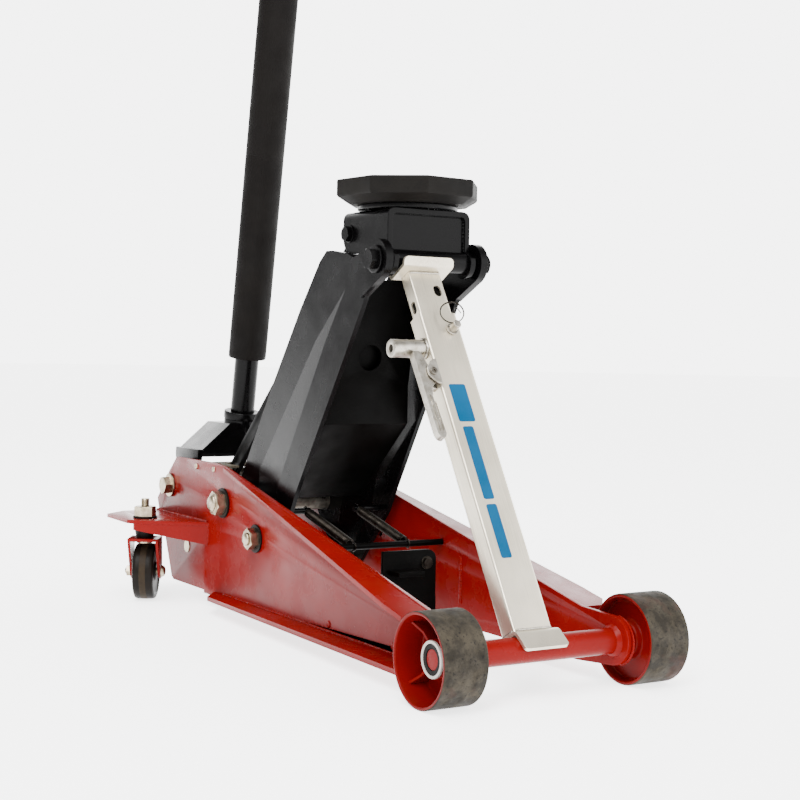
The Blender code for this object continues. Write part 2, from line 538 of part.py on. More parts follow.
def handle():
    cheek = circle(*YOKE, 0.020, 150, 360, 10)
    cheek += [(-0.752, 0.190), (-0.735, 0.200), (-0.735, 0.214), (-0.816, 0.214), (-0.8175, 0.203),
              (-0.813, 0.190)]
    inner, outer = 0.0725, 0.0795
    yoke = add("handle_yoke", side_prism(cheek, -outer, -inner), BLACK, pivot=spot(YOKE))
    half = [(0.0735, 0.2035), (0.0735, 0.2130), (0.029, 0.2515)]
    hollow = [(0.0665, 0.190), (0.0665, 0.2095), (0.0265, 0.2445)]
    shoulders = [(AXLE_X - 0.8150, y, z) for y, z in half + [(-y, z) for y, z in half[::-1]]]
    pocket = [(AXLE_X - 0.8085, y, z) for y, z in hollow + [(-y, z) for y, z in hollow[::-1]]]
    bridge = prism(shoulders, (0.0795, 0, 0))
    fuse(yoke, side_prism(cheek, inner, outer), bridge,
         rod_solid(on_handle(-0.030), HANDLE_DIR, 0.028, 0.0255),
         rod_solid(on_handle(-0.004), HANDLE_DIR, 0.011, 0.0265, chamfer=0.002))
    cut(yoke, prism(pocket, (0.0665, 0, 0)),
        rod_solid(on_handle(-0.070), HANDLE_DIR, 0.08, HANDLE_R + 0.0007),
        cross_hole(YOKE, 0.0083))
    toe = circle(YOKE[0], YOKE[1] - 0.030, 0.0085, 180, 360, 8)
    toe += [(YOKE[0] + 0.0085, YOKE[1]), (YOKE[0] - 0.0085, YOKE[1])]
    crank = add("pump_cam", side_prism(toe, -0.011, 0.011), STEEL, pivot=spot(YOKE))
    fuse(crank, rod_solid(spot(YOKE, -0.0705), (0, 1, 0), 0.141, 0.0125))
    for word, side in SIDES:
        head = [(0, -0.0260), (0.0080, -0.0260), (0.0080, 0.0), (0.0170, 0.0), (0.0170, 0.003),
                (0.0125, 0.003), (0.0125, 0.012), (0.0105, 0.0135), (0, 0.0135)]
        foot = spot(YOKE, side * (PLATE_OUT + GAP))
        add("yoke_bolt_" + word, lathe(head, foot, (0, side, 0), 12), ZINC)
    lower = [(0, 0.0), (HANDLE_R, 0.0), (HANDLE_R, 0.420), (0.0141, 0.420), (0.0141, 0.370), (0, 0.370)]
    add("handle_lower_tube", lathe(lower, on_handle(-0.030), HANDLE_DIR, 16), BLACK, pivot=on_handle(0))
    upper = [(0, 0.345), (0.0138, 0.345), (0.0138, 0.3903), (HANDLE_R, 0.3903), (HANDLE_R, 0.885), (0, 0.885)]
    add("handle_upper_tube", lathe(upper, on_handle(0), HANDLE_DIR, 16), BLACK, pivot=on_handle(0))
    sleeve = [(HANDLE_R + GAP, 0.0), (SLEEVE_R - 0.002, 0.0), (SLEEVE_R, 0.002), (SLEEVE_R, 0.603),
              (SLEEVE_R - 0.002, 0.605), (HANDLE_R + GAP, 0.605)]
    add("handle_sleeve", lathe(sleeve, on_handle(0.087), HANDLE_DIR, 16), RUBBER, pivot=on_handle(0))
    grip = [(0.0, 0.0), (0.0215, 0.0), (0.0225, 0.004), (0.0210, 0.060), (0.0215, 0.120), (0.0225, 0.128),
            (0.018, 0.134), (0.0, 0.134)]
    cap = add("handle_grip", lathe(grip, on_handle(0.755), HANDLE_DIR, 16), RUBBER, pivot=on_handle(0))
    cut(cap, rod_solid(on_handle(0.70), HANDLE_DIR, 0.1853, HANDLE_R + GAP, 16))


# Safety rod --------------------------------------------------------------------------------

ROD_DIR = Vector((-math.sin(ROD_LEAN), 0, math.cos(ROD_LEAN)))
ROD_FACE = Vector((math.cos(ROD_LEAN), 0, math.sin(ROD_LEAN)))


def on_rod(s, m, y=0.0):
    """World point s up the rod, m ahead of its front face and y from its middle."""
    return spot(ROD_FOOT, ROD_Y + y) + ROD_DIR * s + ROD_FACE * m


def rod_box(s0, s1, m0, m1, y0, y1):
    corners = ((s0, m0), (s0, m1), (s1, m1), (s1, m0))
    return prism([on_rod(s, m, y0) for s, m in corners], (0, y1 - y0, 0))


def bent_strip(points, thickness, y0, y1):
    """A folded strip in the rod's side view, through (s, m) points, thickened to its left."""
    left = []
    runs = [(Vector(b) - Vector(a)).normalized() for a, b in zip(points, points[1:])]
    for point, first, second in zip(points, runs[:1] + runs, runs + runs[-1:]):
        normal = Vector((-(first + second).y, (first + second).x)).normalized()
        reach = thickness / max(0.3, normal.dot(Vector((-first.y, first.x))))
        left.append((point[0] + normal.x * reach, point[1] + normal.y * reach))
    outline = list(points) + left[::-1]
    return prism([on_rod(s, m, y0) for s, m in outline], (0, y1 - y0, 0))


def safety_rod():
    foot = spot((0, 0.050), ROD_Y)
    w = ROD_HALF_W
    outer = add("rod_outer_tube", rod_box(0.0031, ROD_LENGTH, -ROD_T, 0, -w, w), ALUMINIUM, pivot=foot)
    cut(outer, rod_box(-0.02, ROD_LENGTH + 0.02, -ROD_T + 0.0027, -0.0027, -w + 0.0027, w - 0.0027))
    hook = [(-0.0234, 0.0130), (-0.0012, 0.0038), (-0.0012, -0.030), (-0.014, -0.036)]
    add("rod_foot", bent_strip(hook, 0.004, -w - 0.003, w + 0.003), ALUMINIUM, pivot=foot)
    v = w - 0.003
    solid = rod_box(0.285, ROD_TOP, -ROD_T + 0.003, -0.003, -v, v)
    inner = add("rod_inner_tube", solid, ALUMINIUM, pivot=foot)
    cut(inner, rod_box(0.20, ROD_TOP + 0.02, -ROD_T + 0.0055, -0.0055, -v + 0.0025, v - 0.0025))
    slots = [rod_solid(on_rod(0.427, -0.06, 0.012), ROD_FACE, 0.1, 0.0048, 16)]
    slots += [rod_solid(on_rod(s, -0.0125, -0.05), (0, 1, 0), 0.04, 0.005, 16) for s in (0.404, 0.353)]
    slots += [rod_solid(on_rod(0.372, -0.03, 0.012), ROD_FACE, 0.06, 0.0056, 16)]
    cut(inner, *slots)
    cut(outer, rod_solid(on_rod(0.372, -0.010, 0.012), ROD_FACE, 0.06, 0.0056, 16),
        rod_solid(on_rod(0.353, -0.0125, -0.05), (0, 1, 0), 0.04, 0.0044, 16))
    cradle = [(ROD_TOP + 0.0095, 0.0159), (ROD_TOP + GAP, 0.0095), (ROD_TOP + GAP, -0.0245),
              (ROD_TOP + 0.0200, -0.0305)]
    add("rod_cradle", bent_strip(cradle, 0.004, -0.034, 0.034), ALUMINIUM, pivot=foot)
    boss = [(0.0048, 0.0), (0.0105, 0.0), (0.0105, 0.044), (0.0048, 0.044)]
    add("lock_boss", lathe(boss, on_rod(0.353, -0.0125, -w - GAP), (0, -1, 0), 12), ALUMINIUM, pivot=foot)
    plunger = [(0, 0.0), (0.0042, 0.0), (0.0042, 0.030), (0, 0.030)]
    plunger_at = on_rod(0.353, -0.0125, -w + 0.0022)
    add("lock_plunger", lathe(plunger, plunger_at, (0, -1, 0), 16), STEEL, pivot=plunger_at)
    hinge = on_rod(0.314, -0.0125, -w - 0.008)
    lug = [(0.300, 0.0), (0.300, 0.006), (0.308, 0.014), (0.320, 0.014), (0.328, 0.006), (0.328, 0.0)]
    fuse(outer, prism([on_rod(s, -0.0165, -w + 0.0002 - y) for s, y in lug], ROD_FACE * 0.008))
    cut(outer, rod_solid(hinge - ROD_FACE * 0.02, ROD_FACE, 0.04, 0.0029, 12))
    pin = [(0, -0.0075), (0.0055, -0.0075), (0.0055, -0.0045), (0.0026, -0.0045), (0.0026, 0.0145),
           (0.0055, 0.0145), (0.0055, 0.0175), (0, 0.0175)]
    add("lever_bolt", lathe(pin, hinge, ROD_FACE, 12), ZINC)
    arm = [(0.342, 0.017), (0.306, 0.005), (0.301, 0.006), (0.296, 0.016), (0.236, 0.012),
           (0.232, 0.016), (0.236, 0.021), (0.342, 0.0245)]
    lever = add("release_lever", prism([on_rod(s, -0.0080, -w - GAP - y) for s, y in arm], ROD_FACE * 0.0095),
                ALUMINIUM, pivot=hinge)
    cut(lever, rod_solid(hinge - ROD_FACE * 0.02, ROD_FACE, 0.06, 0.0029, 12))
    pin_at = on_rod(0.372, -0.0024, 0.012)
    add("lock_pin", lathe([(0, 0.0), (0.0050, 0.0), (0.0050, 0.0030), (0.0072, 0.0030), (0.0072, 0.0164),
                           (0, 0.0164)], pin_at, ROD_FACE, 12), ZINC, pivot=pin_at)


frame_parts()
for word, side in SIDES:
    front_wheel("front_wheel_" + word, side)
    caster(word, side)
hydraulics()
lifting_arm()
return_springs()
saddle()
handle()
safety_rod()
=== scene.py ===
import json
import math
import random

import bmesh
import bpy
from mathutils import Matrix, Vector


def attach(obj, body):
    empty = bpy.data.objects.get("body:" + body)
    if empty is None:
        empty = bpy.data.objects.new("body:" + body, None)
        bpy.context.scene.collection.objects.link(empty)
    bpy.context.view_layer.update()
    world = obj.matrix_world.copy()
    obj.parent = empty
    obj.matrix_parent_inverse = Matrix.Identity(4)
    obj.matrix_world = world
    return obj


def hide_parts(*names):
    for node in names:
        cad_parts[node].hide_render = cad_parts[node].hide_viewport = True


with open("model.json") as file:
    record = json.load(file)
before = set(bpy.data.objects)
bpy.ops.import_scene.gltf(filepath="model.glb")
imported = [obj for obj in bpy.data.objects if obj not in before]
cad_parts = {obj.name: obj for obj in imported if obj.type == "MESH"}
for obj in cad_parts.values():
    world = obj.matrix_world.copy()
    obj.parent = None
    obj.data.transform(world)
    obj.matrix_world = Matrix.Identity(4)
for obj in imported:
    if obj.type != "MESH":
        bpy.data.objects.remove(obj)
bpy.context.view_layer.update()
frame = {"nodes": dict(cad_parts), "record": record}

# Places, in metres: x is from the front axle
AXLE_X = 0.3975
PLATE_IN, PLATE_OUT = 0.091, 0.097
WHEEL_R, WHEEL_IN, WHEEL_OUT = 0.050, 0.105, 0.158
FLANGE_REAR, FLANGE_FRONT = -0.605, -0.055
TOP_Z, NOSE_Z = 0.199, 0.079
PIVOT = (-0.606, 0.150)
HEAD = (-0.247, 0.468)
LINK_OFFSET = (-0.088, 0.035)
SPRING_BAR, SPRING_PEG, SPRING_Y = (-0.345, 0.118), (-0.475, 0.150), 0.039
YOKE = (-0.792, 0.159)
HANDLE_FOOT, HANDLE_LEAN = (-0.757, 0.262), math.radians(9.7)
HANDLE_R, SLEEVE_R = 0.0174, 0.0275
SWIVEL, TRAIL, CASTER_R, CASTER_YAW = (-0.743, 0.156), 0.016, 0.040, math.radians(31.0)
BRACKET_Z = 0.118
PAD_X, PAD_R, PAD_TURN = -0.295, 0.0887, math.radians(6.5)
PAD_BASE = 0.5371
ROD_FOOT, ROD_LEAN, ROD_Y = (-0.0027, 0.0666), math.radians(30.55), -0.012
ROD_W, ROD_T, ROD_LENGTH, ROD_TOP = 0.025, 0.025, 0.395, 0.452
CAMERA = (1.28048754, -0.958212424, 0.359736253)
BOSS_S, HINGE_S, PIN_S, PIN_Y, MIDDLE = 0.353, 0.314, 0.372, 0.012, -ROD_T / 2
SIDES = (("right", -1), ("left", 1))

HANDLE_DIR = Vector((math.sin(HANDLE_LEAN), 0, math.cos(HANDLE_LEAN)))
ROD_DIR = Vector((-math.sin(ROD_LEAN), 0, math.cos(ROD_LEAN)))
ROD_FACE = Vector((math.cos(ROD_LEAN), 0, math.sin(ROD_LEAN)))
UP = Vector((0, 0, 1))

BODY_OF = {}
for body, members in frame["record"]["behaviour"]["bodies"].items():
    for member in members:
        BODY_OF[member] = body
dice = random.Random(7)


def spot(place, y=0.0):
    return Vector((AXLE_X + place[0], y, place[1]))


def on_rod(s, m, y=0.0):
    return spot(ROD_FOOT, ROD_Y + y) + ROD_DIR * s + ROD_FACE * m


def on_handle(s):
    return spot(HANDLE_FOOT) + HANDLE_DIR * s


# Materials ---------------------------------------------------------------------------------

class Look:
    """A node material built round one Principled shader."""

    def __init__(self, name, color, roughness, metallic=0.0, specular=0.5, coat=0.0):
        self.made = bpy.data.materials.new(name)
        self.made.use_nodes = True
        self.nodes = self.made.node_tree.nodes
        self.links = self.made.node_tree.links
        self.shader = self.nodes["Principled BSDF"]
        self.set("Base Color", (*color, 1.0))
        self.set("Roughness", roughness)
        self.set("Metallic", metallic)
        self.set("Specular IOR Level", specular)
        self.set("Coat Weight", coat)
        self.set("Coat Roughness", 0.08)
        self.color = color
        self.where = self.nodes.new("ShaderNodeTexCoord").outputs["Object"]

    def set(self, socket, value):
        self.shader.inputs[socket].default_value = value

    def join(self, a, b):
        self.links.new(a, b)

    def noise(self, scale, detail=4.0, stretch=None, turn=None, rough=0.55):
        place = self.where
        if turn is not None:
            turned = self.nodes.new("ShaderNodeMapping")
            turned.inputs["Rotation"].default_value = turn
            self.join(place, turned.inputs["Vector"])
            place = turned.outputs["Vector"]
        if stretch is not None:
            pulled = self.nodes.new("ShaderNodeMapping")
            pulled.inputs["Scale"].default_value = stretch
            self.join(place, pulled.inputs["Vector"])
            place = pulled.outputs["Vector"]
        made = self.nodes.new("ShaderNodeTexNoise")
        made.inputs["Scale"].default_value = scale
        made.inputs["Detail"].default_value = detail
        made.inputs["Roughness"].default_value = rough
        self.join(place, made.inputs["Vector"])
        return made.outputs["Fac"]

    def ramp(self, value, low, high, out_low=0.0, out_high=1.0):
        made = self.nodes.new("ShaderNodeMapRange")
        for socket, number in zip(("From Min", "From Max", "To Min", "To Max"),
                                  (low, high, out_low, out_high)):
            made.inputs[socket].default_value = number
        self.join(value, made.inputs["Value"])
        return made.outputs["Result"]

    def times(self, a, b):
        made = self.nodes.new("ShaderNodeMath")
        made.operation = "MULTIPLY"
        self.join(a, made.inputs[0])
        self.join(b, made.inputs[1])
        return made.outputs["Value"]

    def mix(self, factor, first, second):
        made = self.nodes.new("ShaderNodeMix")
        made.data_type = "RGBA"
        self.join(factor, made.inputs["Factor"])
        for name, value in (("A", first), ("B", second)):
            socket = [s for s in made.inputs if s.name == name and s.type == "RGBA"][0]
            if isinstance(value, tuple):
                socket.default_value = (*value, 1.0)
            else:
                self.join(value, socket)
        return [s for s in made.outputs if s.type == "RGBA"][0]

    def facing_up(self):
        normal = self.nodes.new("ShaderNodeNewGeometry").outputs["Normal"]
        parts = self.nodes.new("ShaderNodeSeparateXYZ")
        self.join(normal, parts.inputs["Vector"])
        return self.ramp(parts.outputs["Z"], 0.5, 0.95)

    def bump(self, height, strength, distance=0.0005):
        made = self.nodes.new("ShaderNodeBump")
        made.inputs["Strength"].default_value = strength
        made.inputs["Distance"].default_value = distance
        self.join(height, made.inputs["Height"])
        self.join(made.outputs["Normal"], self.shader.inputs["Normal"])

    def paint_with(self, color, roughness=None):
        self.join(color, self.shader.inputs["Base Color"])
        if roughness is not None:
            self.join(roughness, self.shader.inputs["Roughness"])
        return self.made


def gloss_paint(name, color, dust, roughness, dust_amount, specular=0.5, coat=0.6):
    look = Look(name, color, roughness, specular=specular, coat=coat)
    cloudy = look.ramp(look.noise(9.0), 0.35, 0.7)
    deep = tuple(c * 0.78 for c in color)
    base = look.mix(cloudy, color, deep)
    settled = look.times(look.facing_up(), look.ramp(look.noise(38.0, 8.0), 0.42, 0.75, 0.0,
            dust_amount))
    base = look.mix(settled, base, dust)
    look.bump(look.noise(420.0, 2.0), 0.05)
    return look.paint_with(base, look.ramp(look.noise(26.0, 6.0), 0.3, 0.75, roughness * 0.75,
            roughness * 1.5))


def plain_metal(name, color, tint, roughness, scale=120.0):
    look = Look(name, color, roughness, metallic=1.0)
    base = look.mix(look.ramp(look.noise(scale, 6.0), 0.35, 0.7), color, tint)
    look.bump(look.noise(600.0, 3.0), 0.08, 0.0002)
    return look.paint_with(base, look.ramp(look.noise(70.0, 5.0), 0.3, 0.7, roughness * 0.75,
            roughness * 1.4))


def brushed(name, color, tint, turn):
    look = Look(name, color, 0.36, metallic=0.9, specular=0.2)
    lines = look.noise(60.0, 6.0, stretch=(14.0, 14.0, 0.25), turn=turn)
    clouds = look.ramp(look.noise(14.0, 5.0), 0.35, 0.7)
    base = look.mix(look.times(look.ramp(lines, 0.3, 0.75), clouds), color, tint)
    look.bump(lines, 0.10, 0.0002)
    return look.paint_with(base, look.ramp(lines, 0.3, 0.75, 0.27, 0.46))


def worn_tread(name):
    grime, bare, rust = (0.0095, 0.0075, 0.0048), (0.030, 0.0245, 0.0165), (0.030, 0.0062, 0.0040)
    look = Look(name, grime, 0.7, specular=0.12)
    base = look.mix(look.ramp(look.noise(45.0, 8.0, rough=0.7), 0.42, 0.62), grime, bare)
    base = look.mix(look.ramp(look.noise(20.0, 5.0), 0.55, 0.72, 0.0, 0.7), base, rust)
    base = look.mix(look.ramp(look.noise(330.0, 3.0), 0.58, 0.70), base, (0.003, 0.0023, 0.0018))
    look.bump(look.noise(240.0, 6.0), 0.5, 0.0006)
    return look.paint_with(base, look.ramp(look.noise(60.0), 0.3, 0.7, 0.5, 0.85))


def dull(name, color, tint, roughness, grain, strength):
    look = Look(name, color, roughness, specular=0.06)
    base = look.mix(look.ramp(look.noise(22.0, 6.0), 0.35, 0.7), color, tint)
    look.bump(look.noise(grain, 4.0), strength, 0.0005)
    return look.paint_with(base, look.ramp(look.noise(34.0, 5.0), 0.3, 0.7, roughness * 0.85,
            roughness * 1.15))


RED = gloss_paint("gloss_red", (0.125, 0.0016, 0.0011), (0.09, 0.016, 0.008), 0.24, 0.25, specular=0.07,
        coat=0.0)
WHEEL_RED = gloss_paint("wheel_red", (0.105, 0.0015, 0.0011), (0.07, 0.014, 0.008), 0.34, 0.3,
        specular=0.06, coat=0.0)
BLACK = gloss_paint("gloss_black", (0.0010, 0.0009, 0.0010), (0.006, 0.0045, 0.0035), 0.22, 0.15,
        specular=0.075, coat=0.0)
INNER_BLACK = gloss_paint("inner_black", (0.0006, 0.0005, 0.0004), (0.004, 0.0028, 0.002), 0.42, 0.2,
        specular=0.03, coat=0.0)
ZINC = plain_metal("yellowed_zinc", (0.42, 0.36, 0.26), (0.19, 0.155, 0.10), 0.28)
STEEL = plain_metal("worn_steel", (0.15, 0.14, 0.12), (0.06, 0.05, 0.04), 0.36)
SPRING = plain_metal("oiled_spring", (0.022, 0.019, 0.016), (0.009, 0.0075, 0.006), 0.35)
COVER = plain_metal("cover_plate", (0.20, 0.175, 0.13), (0.10, 0.085, 0.06), 0.45)
BRUSHED = brushed("brushed_aluminium", (0.62, 0.565, 0.455), (0.30, 0.265, 0.20), (0, ROD_LEAN, 0))
CUT_EDGE = plain_metal("bright_aluminium", (0.40, 0.375, 0.33), (0.22, 0.20, 0.165), 0.3)
RUBBER = dull("pad_rubber", (0.0020, 0.0018, 0.0016), (0.0045, 0.0037, 0.003), 0.6, 500.0, 0.25)
SLEEVE = dull("handle_foam", (0.0021, 0.0016, 0.0014), (0.0032, 0.0025, 0.0021), 0.66, 900.0, 0.35)
TYRE = dull("caster_black", (0.0025, 0.0022, 0.002), (0.006, 0.0045, 0.0032), 0.42, 300.0, 0.2)
WORN = dull("caster_worn", (0.030, 0.021, 0.012), (0.010, 0.007, 0.0045), 0.55, 260.0, 0.4)
TREAD = worn_tread("wheel_tread")
WHITE = dull("white_ring", (0.42, 0.40, 0.37), (0.26, 0.24, 0.21), 0.4, 300.0, 0.1)
BLUE = dull("blue_stripe", (0.0006, 0.050, 0.115), (0.0005, 0.040, 0.095), 0.4, 300.0, 0.05)
# DARK is the dark washers' own colour, and also the painted shade of the hub recess ring
DARK = dull("dark_washer_and_recess_shade", (0.003, 0.0025, 0.0025), (0.008, 0.006, 0.0045), 0.45, 200.0, 0.2)


# Shapes ------------------------------------------------------------------------------------

def prism(points, along):
    mesh = bmesh.new()
    low = [mesh.verts.new(Vector(p)) for p in points]
    high = [mesh.verts.new(Vector(p) + Vector(along)) for p in points]
    mesh.faces.new(low)
    mesh.faces.new(high[::-1])
    for i in range(len(points)):
        j = (i + 1) % len(points)
        mesh.faces.new((low[j], low[i], high[i], high[j]))
    bmesh.ops.recalc_face_normals(mesh, faces=mesh.faces)
    return mesh


def side_prism(outline, y0, y1):
    return prism([(AXLE_X + x, y0, z) for x, z in outline], (0, y1 - y0, 0))


def circle(cx, cz, radius, start=0.0, end=360.0, steps=16):
    whole = abs(end - start) >= 360.0
    count = steps if whole else steps + 1
    angles = [math.radians(start + (end - start) * k / steps) for k in range(count)]
    return [(cx + radius * math.cos(a), cz + radius * math.sin(a)) for a in angles]


def soften(points, radius, closed=False, steps=3):
    """Rounds the corners of a 2-D outline."""
    made, count = [], len(points)
    for i, point in enumerate(points):
        here = Vector(point)
        if not closed and i in (0, count - 1):
            made.append(tuple(here))
            continue
        before, after = Vector(points[i - 1]) - here, Vector(points[(i + 1) % count]) - here
        if before.length < 1e-7 or after.length < 1e-7:
            made.append(tuple(here))
            continue
        turn = before.normalized().dot(after.normalized())
        reach = min(radius, before.length * 0.45, after.length * 0.45)
        if turn < -0.985 or reach < 1e-5:
            made.append(tuple(here))
            continue
        start, end = here + before.normalized() * reach, here + after.normalized() * reach
        for k in range(steps + 1):
            t = k / steps
            made.append(tuple(start * (1 - t) ** 2 + here * (2 * t * (1 - t)) + end * t * t))
    return made


def cross_axes(axis):
    axis = Vector(axis).normalized()
    upright = UP - axis * axis.z
    across = upright.normalized() if upright.length > 1e-6 else Vector((1, 0, 0))
    return axis, across, axis.cross(across)


def spin(profile, base, axis, sides=64, radius_at=None):
    """Turns (radius, height) points about an axis; off the axis the profile closes into a ring."""
    axis, across, other = cross_axes(axis)
    base = Vector(base)
    mesh = bmesh.new()
    rings = []
    for radius, height in profile:
        if radius < 1e-6:
            rings.append([mesh.verts.new(base + axis * height)] * sides)
            continue
        ring = []
        for k in range(sides):
            a = 2 * math.pi * k / sides
            r, h = (radius, height) if radius_at is None else radius_at(radius, height, a)
            swing = across * (r * math.cos(a)) + other * (r * math.sin(a))
            ring.append(mesh.verts.new(base + axis * h + swing))
        rings.append(ring)
    closed = profile[0][0] > 1e-6
    pairs = list(zip(rings, rings[1:] + rings[:1])) if closed else list(zip(rings, rings[1:]))
    for first, second in pairs:
        for k in range(sides):
            n = (k + 1) % sides
            corners = []
            for vert in (first[k], first[n], second[n], second[k]):
                if vert not in corners:
                    corners.append(vert)
            if len(corners) > 2:
                mesh.faces.new(corners)
    bmesh.ops.recalc_face_normals(mesh, faces=mesh.faces)
    return mesh


def washer_on(base, axis, bore, rim, thickness, corner):
    return spin(soften(ring_outline(bore, rim, 0, thickness), corner, True), base, axis)


def rod_outline(radius, low, high):
    """The half outline of a round rod, to be spun."""
    return [(0, low), (radius, low), (radius, high), (0, high)]


def ring_outline(bore, rim, low, high):
    """The outline of a ring, to be spun."""
    return [(bore, low), (rim, low), (rim, high), (bore, high)]


def hexagon(base, axis, apothem, height, bore=0.0, turn=0.0):
    """A nut or bolt head with its corners turned down by a cone."""
    flat = apothem * 1.02

    def radius_at(radius, h, a):
        off = (math.degrees(a) + turn + 30.0) % 60.0 - 30.0
        reach = apothem / math.cos(math.radians(off))
        if radius < flat * 0.9:
            return radius, h
        if h > height * 0.6:
            if radius > flat * 1.05:
                return reach, height - max(0.0, reach - flat) * 0.6 - height * 0.02
            return min(flat, reach) * 0.985, height
        return reach, h

    wide = apothem * 1.2
    profile = [(bore, 0.0), (wide, 0.0), (wide, height), (flat, height), (bore, height)]
    return spin(profile, base, axis, 96, radius_at)


def tube_on(points, radius, sides=8, swell=None):
    """A round bar along a line of points."""
    mesh = bmesh.new()
    rings = []
    normal = None
    count = len(points)
    for i, point in enumerate(points):
        along = (points[min(i + 1, count - 1)] - points[max(i - 1, 0)]).normalized()
        if normal is None:
            normal = along.orthogonal().normalized()
        normal = (normal - along * normal.dot(along)).normalized()
        other = along.cross(normal)
        r = radius if swell is None else radius * swell(i)
        rings.append([mesh.verts.new(point + normal * (r * math.cos(a)) + other * (r * math.sin(a)))
                for a in [2 * math.pi * k / sides for k in range(sides)]])
    for first, second in zip(rings, rings[1:]):
        for k in range(sides):
            n = (k + 1) % sides
            mesh.faces.new((first[k], first[n], second[n], second[k]))
    mesh.faces.new(rings[0])
    mesh.faces.new(rings[-1])
    bmesh.ops.recalc_face_normals(mesh, faces=mesh.faces)
    return mesh


def bead(start, end, radius, pitch=0.0035):
    """A weld bead: a bar with overlapping ripples."""
    start, end = Vector(start), Vector(end)
    length = (end - start).length
    count = max(8, int(length / pitch * 5))
    points = []
    for i in range(count + 1):
        wander = Vector([dice.uniform(-1, 1) * radius * 0.08 for _ in range(3)])
        points.append(start.lerp(end, i / count) + wander)
    return tube_on(points, radius, 8, lambda i: 0.82 + 0.2 * abs(math.sin(i * math.pi / 5)))


def merge(*meshes):
    made = bmesh.new()
    for mesh in meshes:
        data = bpy.data.meshes.new("part")
        mesh.to_mesh(data)
        made.from_mesh(data)
        mesh.free()
        bpy.data.meshes.remove(data)
    return made


def piece(name, mesh, look, body, nodes=(), bevel=0.0, smooth=30.0, segments=2, second=None):
    """A shown object that rides on a body and stands for the named CAD nodes."""
    data = bpy.data.meshes.new(name)
    mesh.to_mesh(data)
    mesh.free()
    data.materials.append(look)
    if second is not None:
        data.materials.append(second)
    data.shade_smooth()
    made = bpy.data.objects.new(name, data)
    bpy.context.scene.collection.objects.link(made)
    if bevel:
        edge = made.modifiers.new("edge", "BEVEL")
        edge.width = bevel
        edge.segments = segments
        edge.limit_method = "ANGLE"
        edge.angle_limit = math.radians(26)
        edge.harden_normals = True
    else:
        data.set_sharp_from_angle(angle=math.radians(smooth))
    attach(made, body)
    if nodes:
        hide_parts(*nodes)
    return made


def copy_of(node):
    mesh = bmesh.new()
    mesh.from_mesh(frame["nodes"][node].data)
    bmesh.ops.remove_doubles(mesh, verts=mesh.verts, dist=3e-6)
    bmesh.ops.dissolve_limit(mesh, angle_limit=math.radians(0.8), verts=mesh.verts, edges=mesh.edges)
    return mesh


def dress(node, look, bevel=0.0006, segments=2):
    return piece(node + "_look", copy_of(node), look, BODY_OF[node], (node,), bevel,
            segments=segments)


def carve(made, *cutters):
    """Cuts closed shapes out of an object for good."""
    tools = []
    for k, mesh in enumerate(cutters):
        data = bpy.data.meshes.new("tool")
        mesh.to_mesh(data)
        mesh.free()
        tool = bpy.data.objects.new("tool", data)
        bpy.context.scene.collection.objects.link(tool)
        tools.append(tool)
        step = made.modifiers.new("cut%d" % k, "BOOLEAN")
        step.operation = "DIFFERENCE"
        step.solver = "EXACT"
        step.object = tool
    keep = [m for m in made.modifiers if m.type == "BEVEL"]
    for m in keep:
        m.show_viewport = False
    bpy.context.view_layer.update()
    graph = bpy.context.evaluated_depsgraph_get()
    cut = bpy.data.meshes.new_from_object(made.evaluated_get(graph))
    for m in [m for m in made.modifiers if m.type == "BOOLEAN"]:
        made.modifiers.remove(m)
    made.data = cut
    for m in keep:
        m.show_viewport = True
    for tool in tools:
        bpy.data.objects.remove(tool)
    return made


# Frame -------------------------------------------------------------------------------------

def top_line(x):
    return TOP_Z + (NOSE_Z - TOP_Z) * (x - FLANGE_REAR) / (FLANGE_FRONT - FLANGE_REAR)


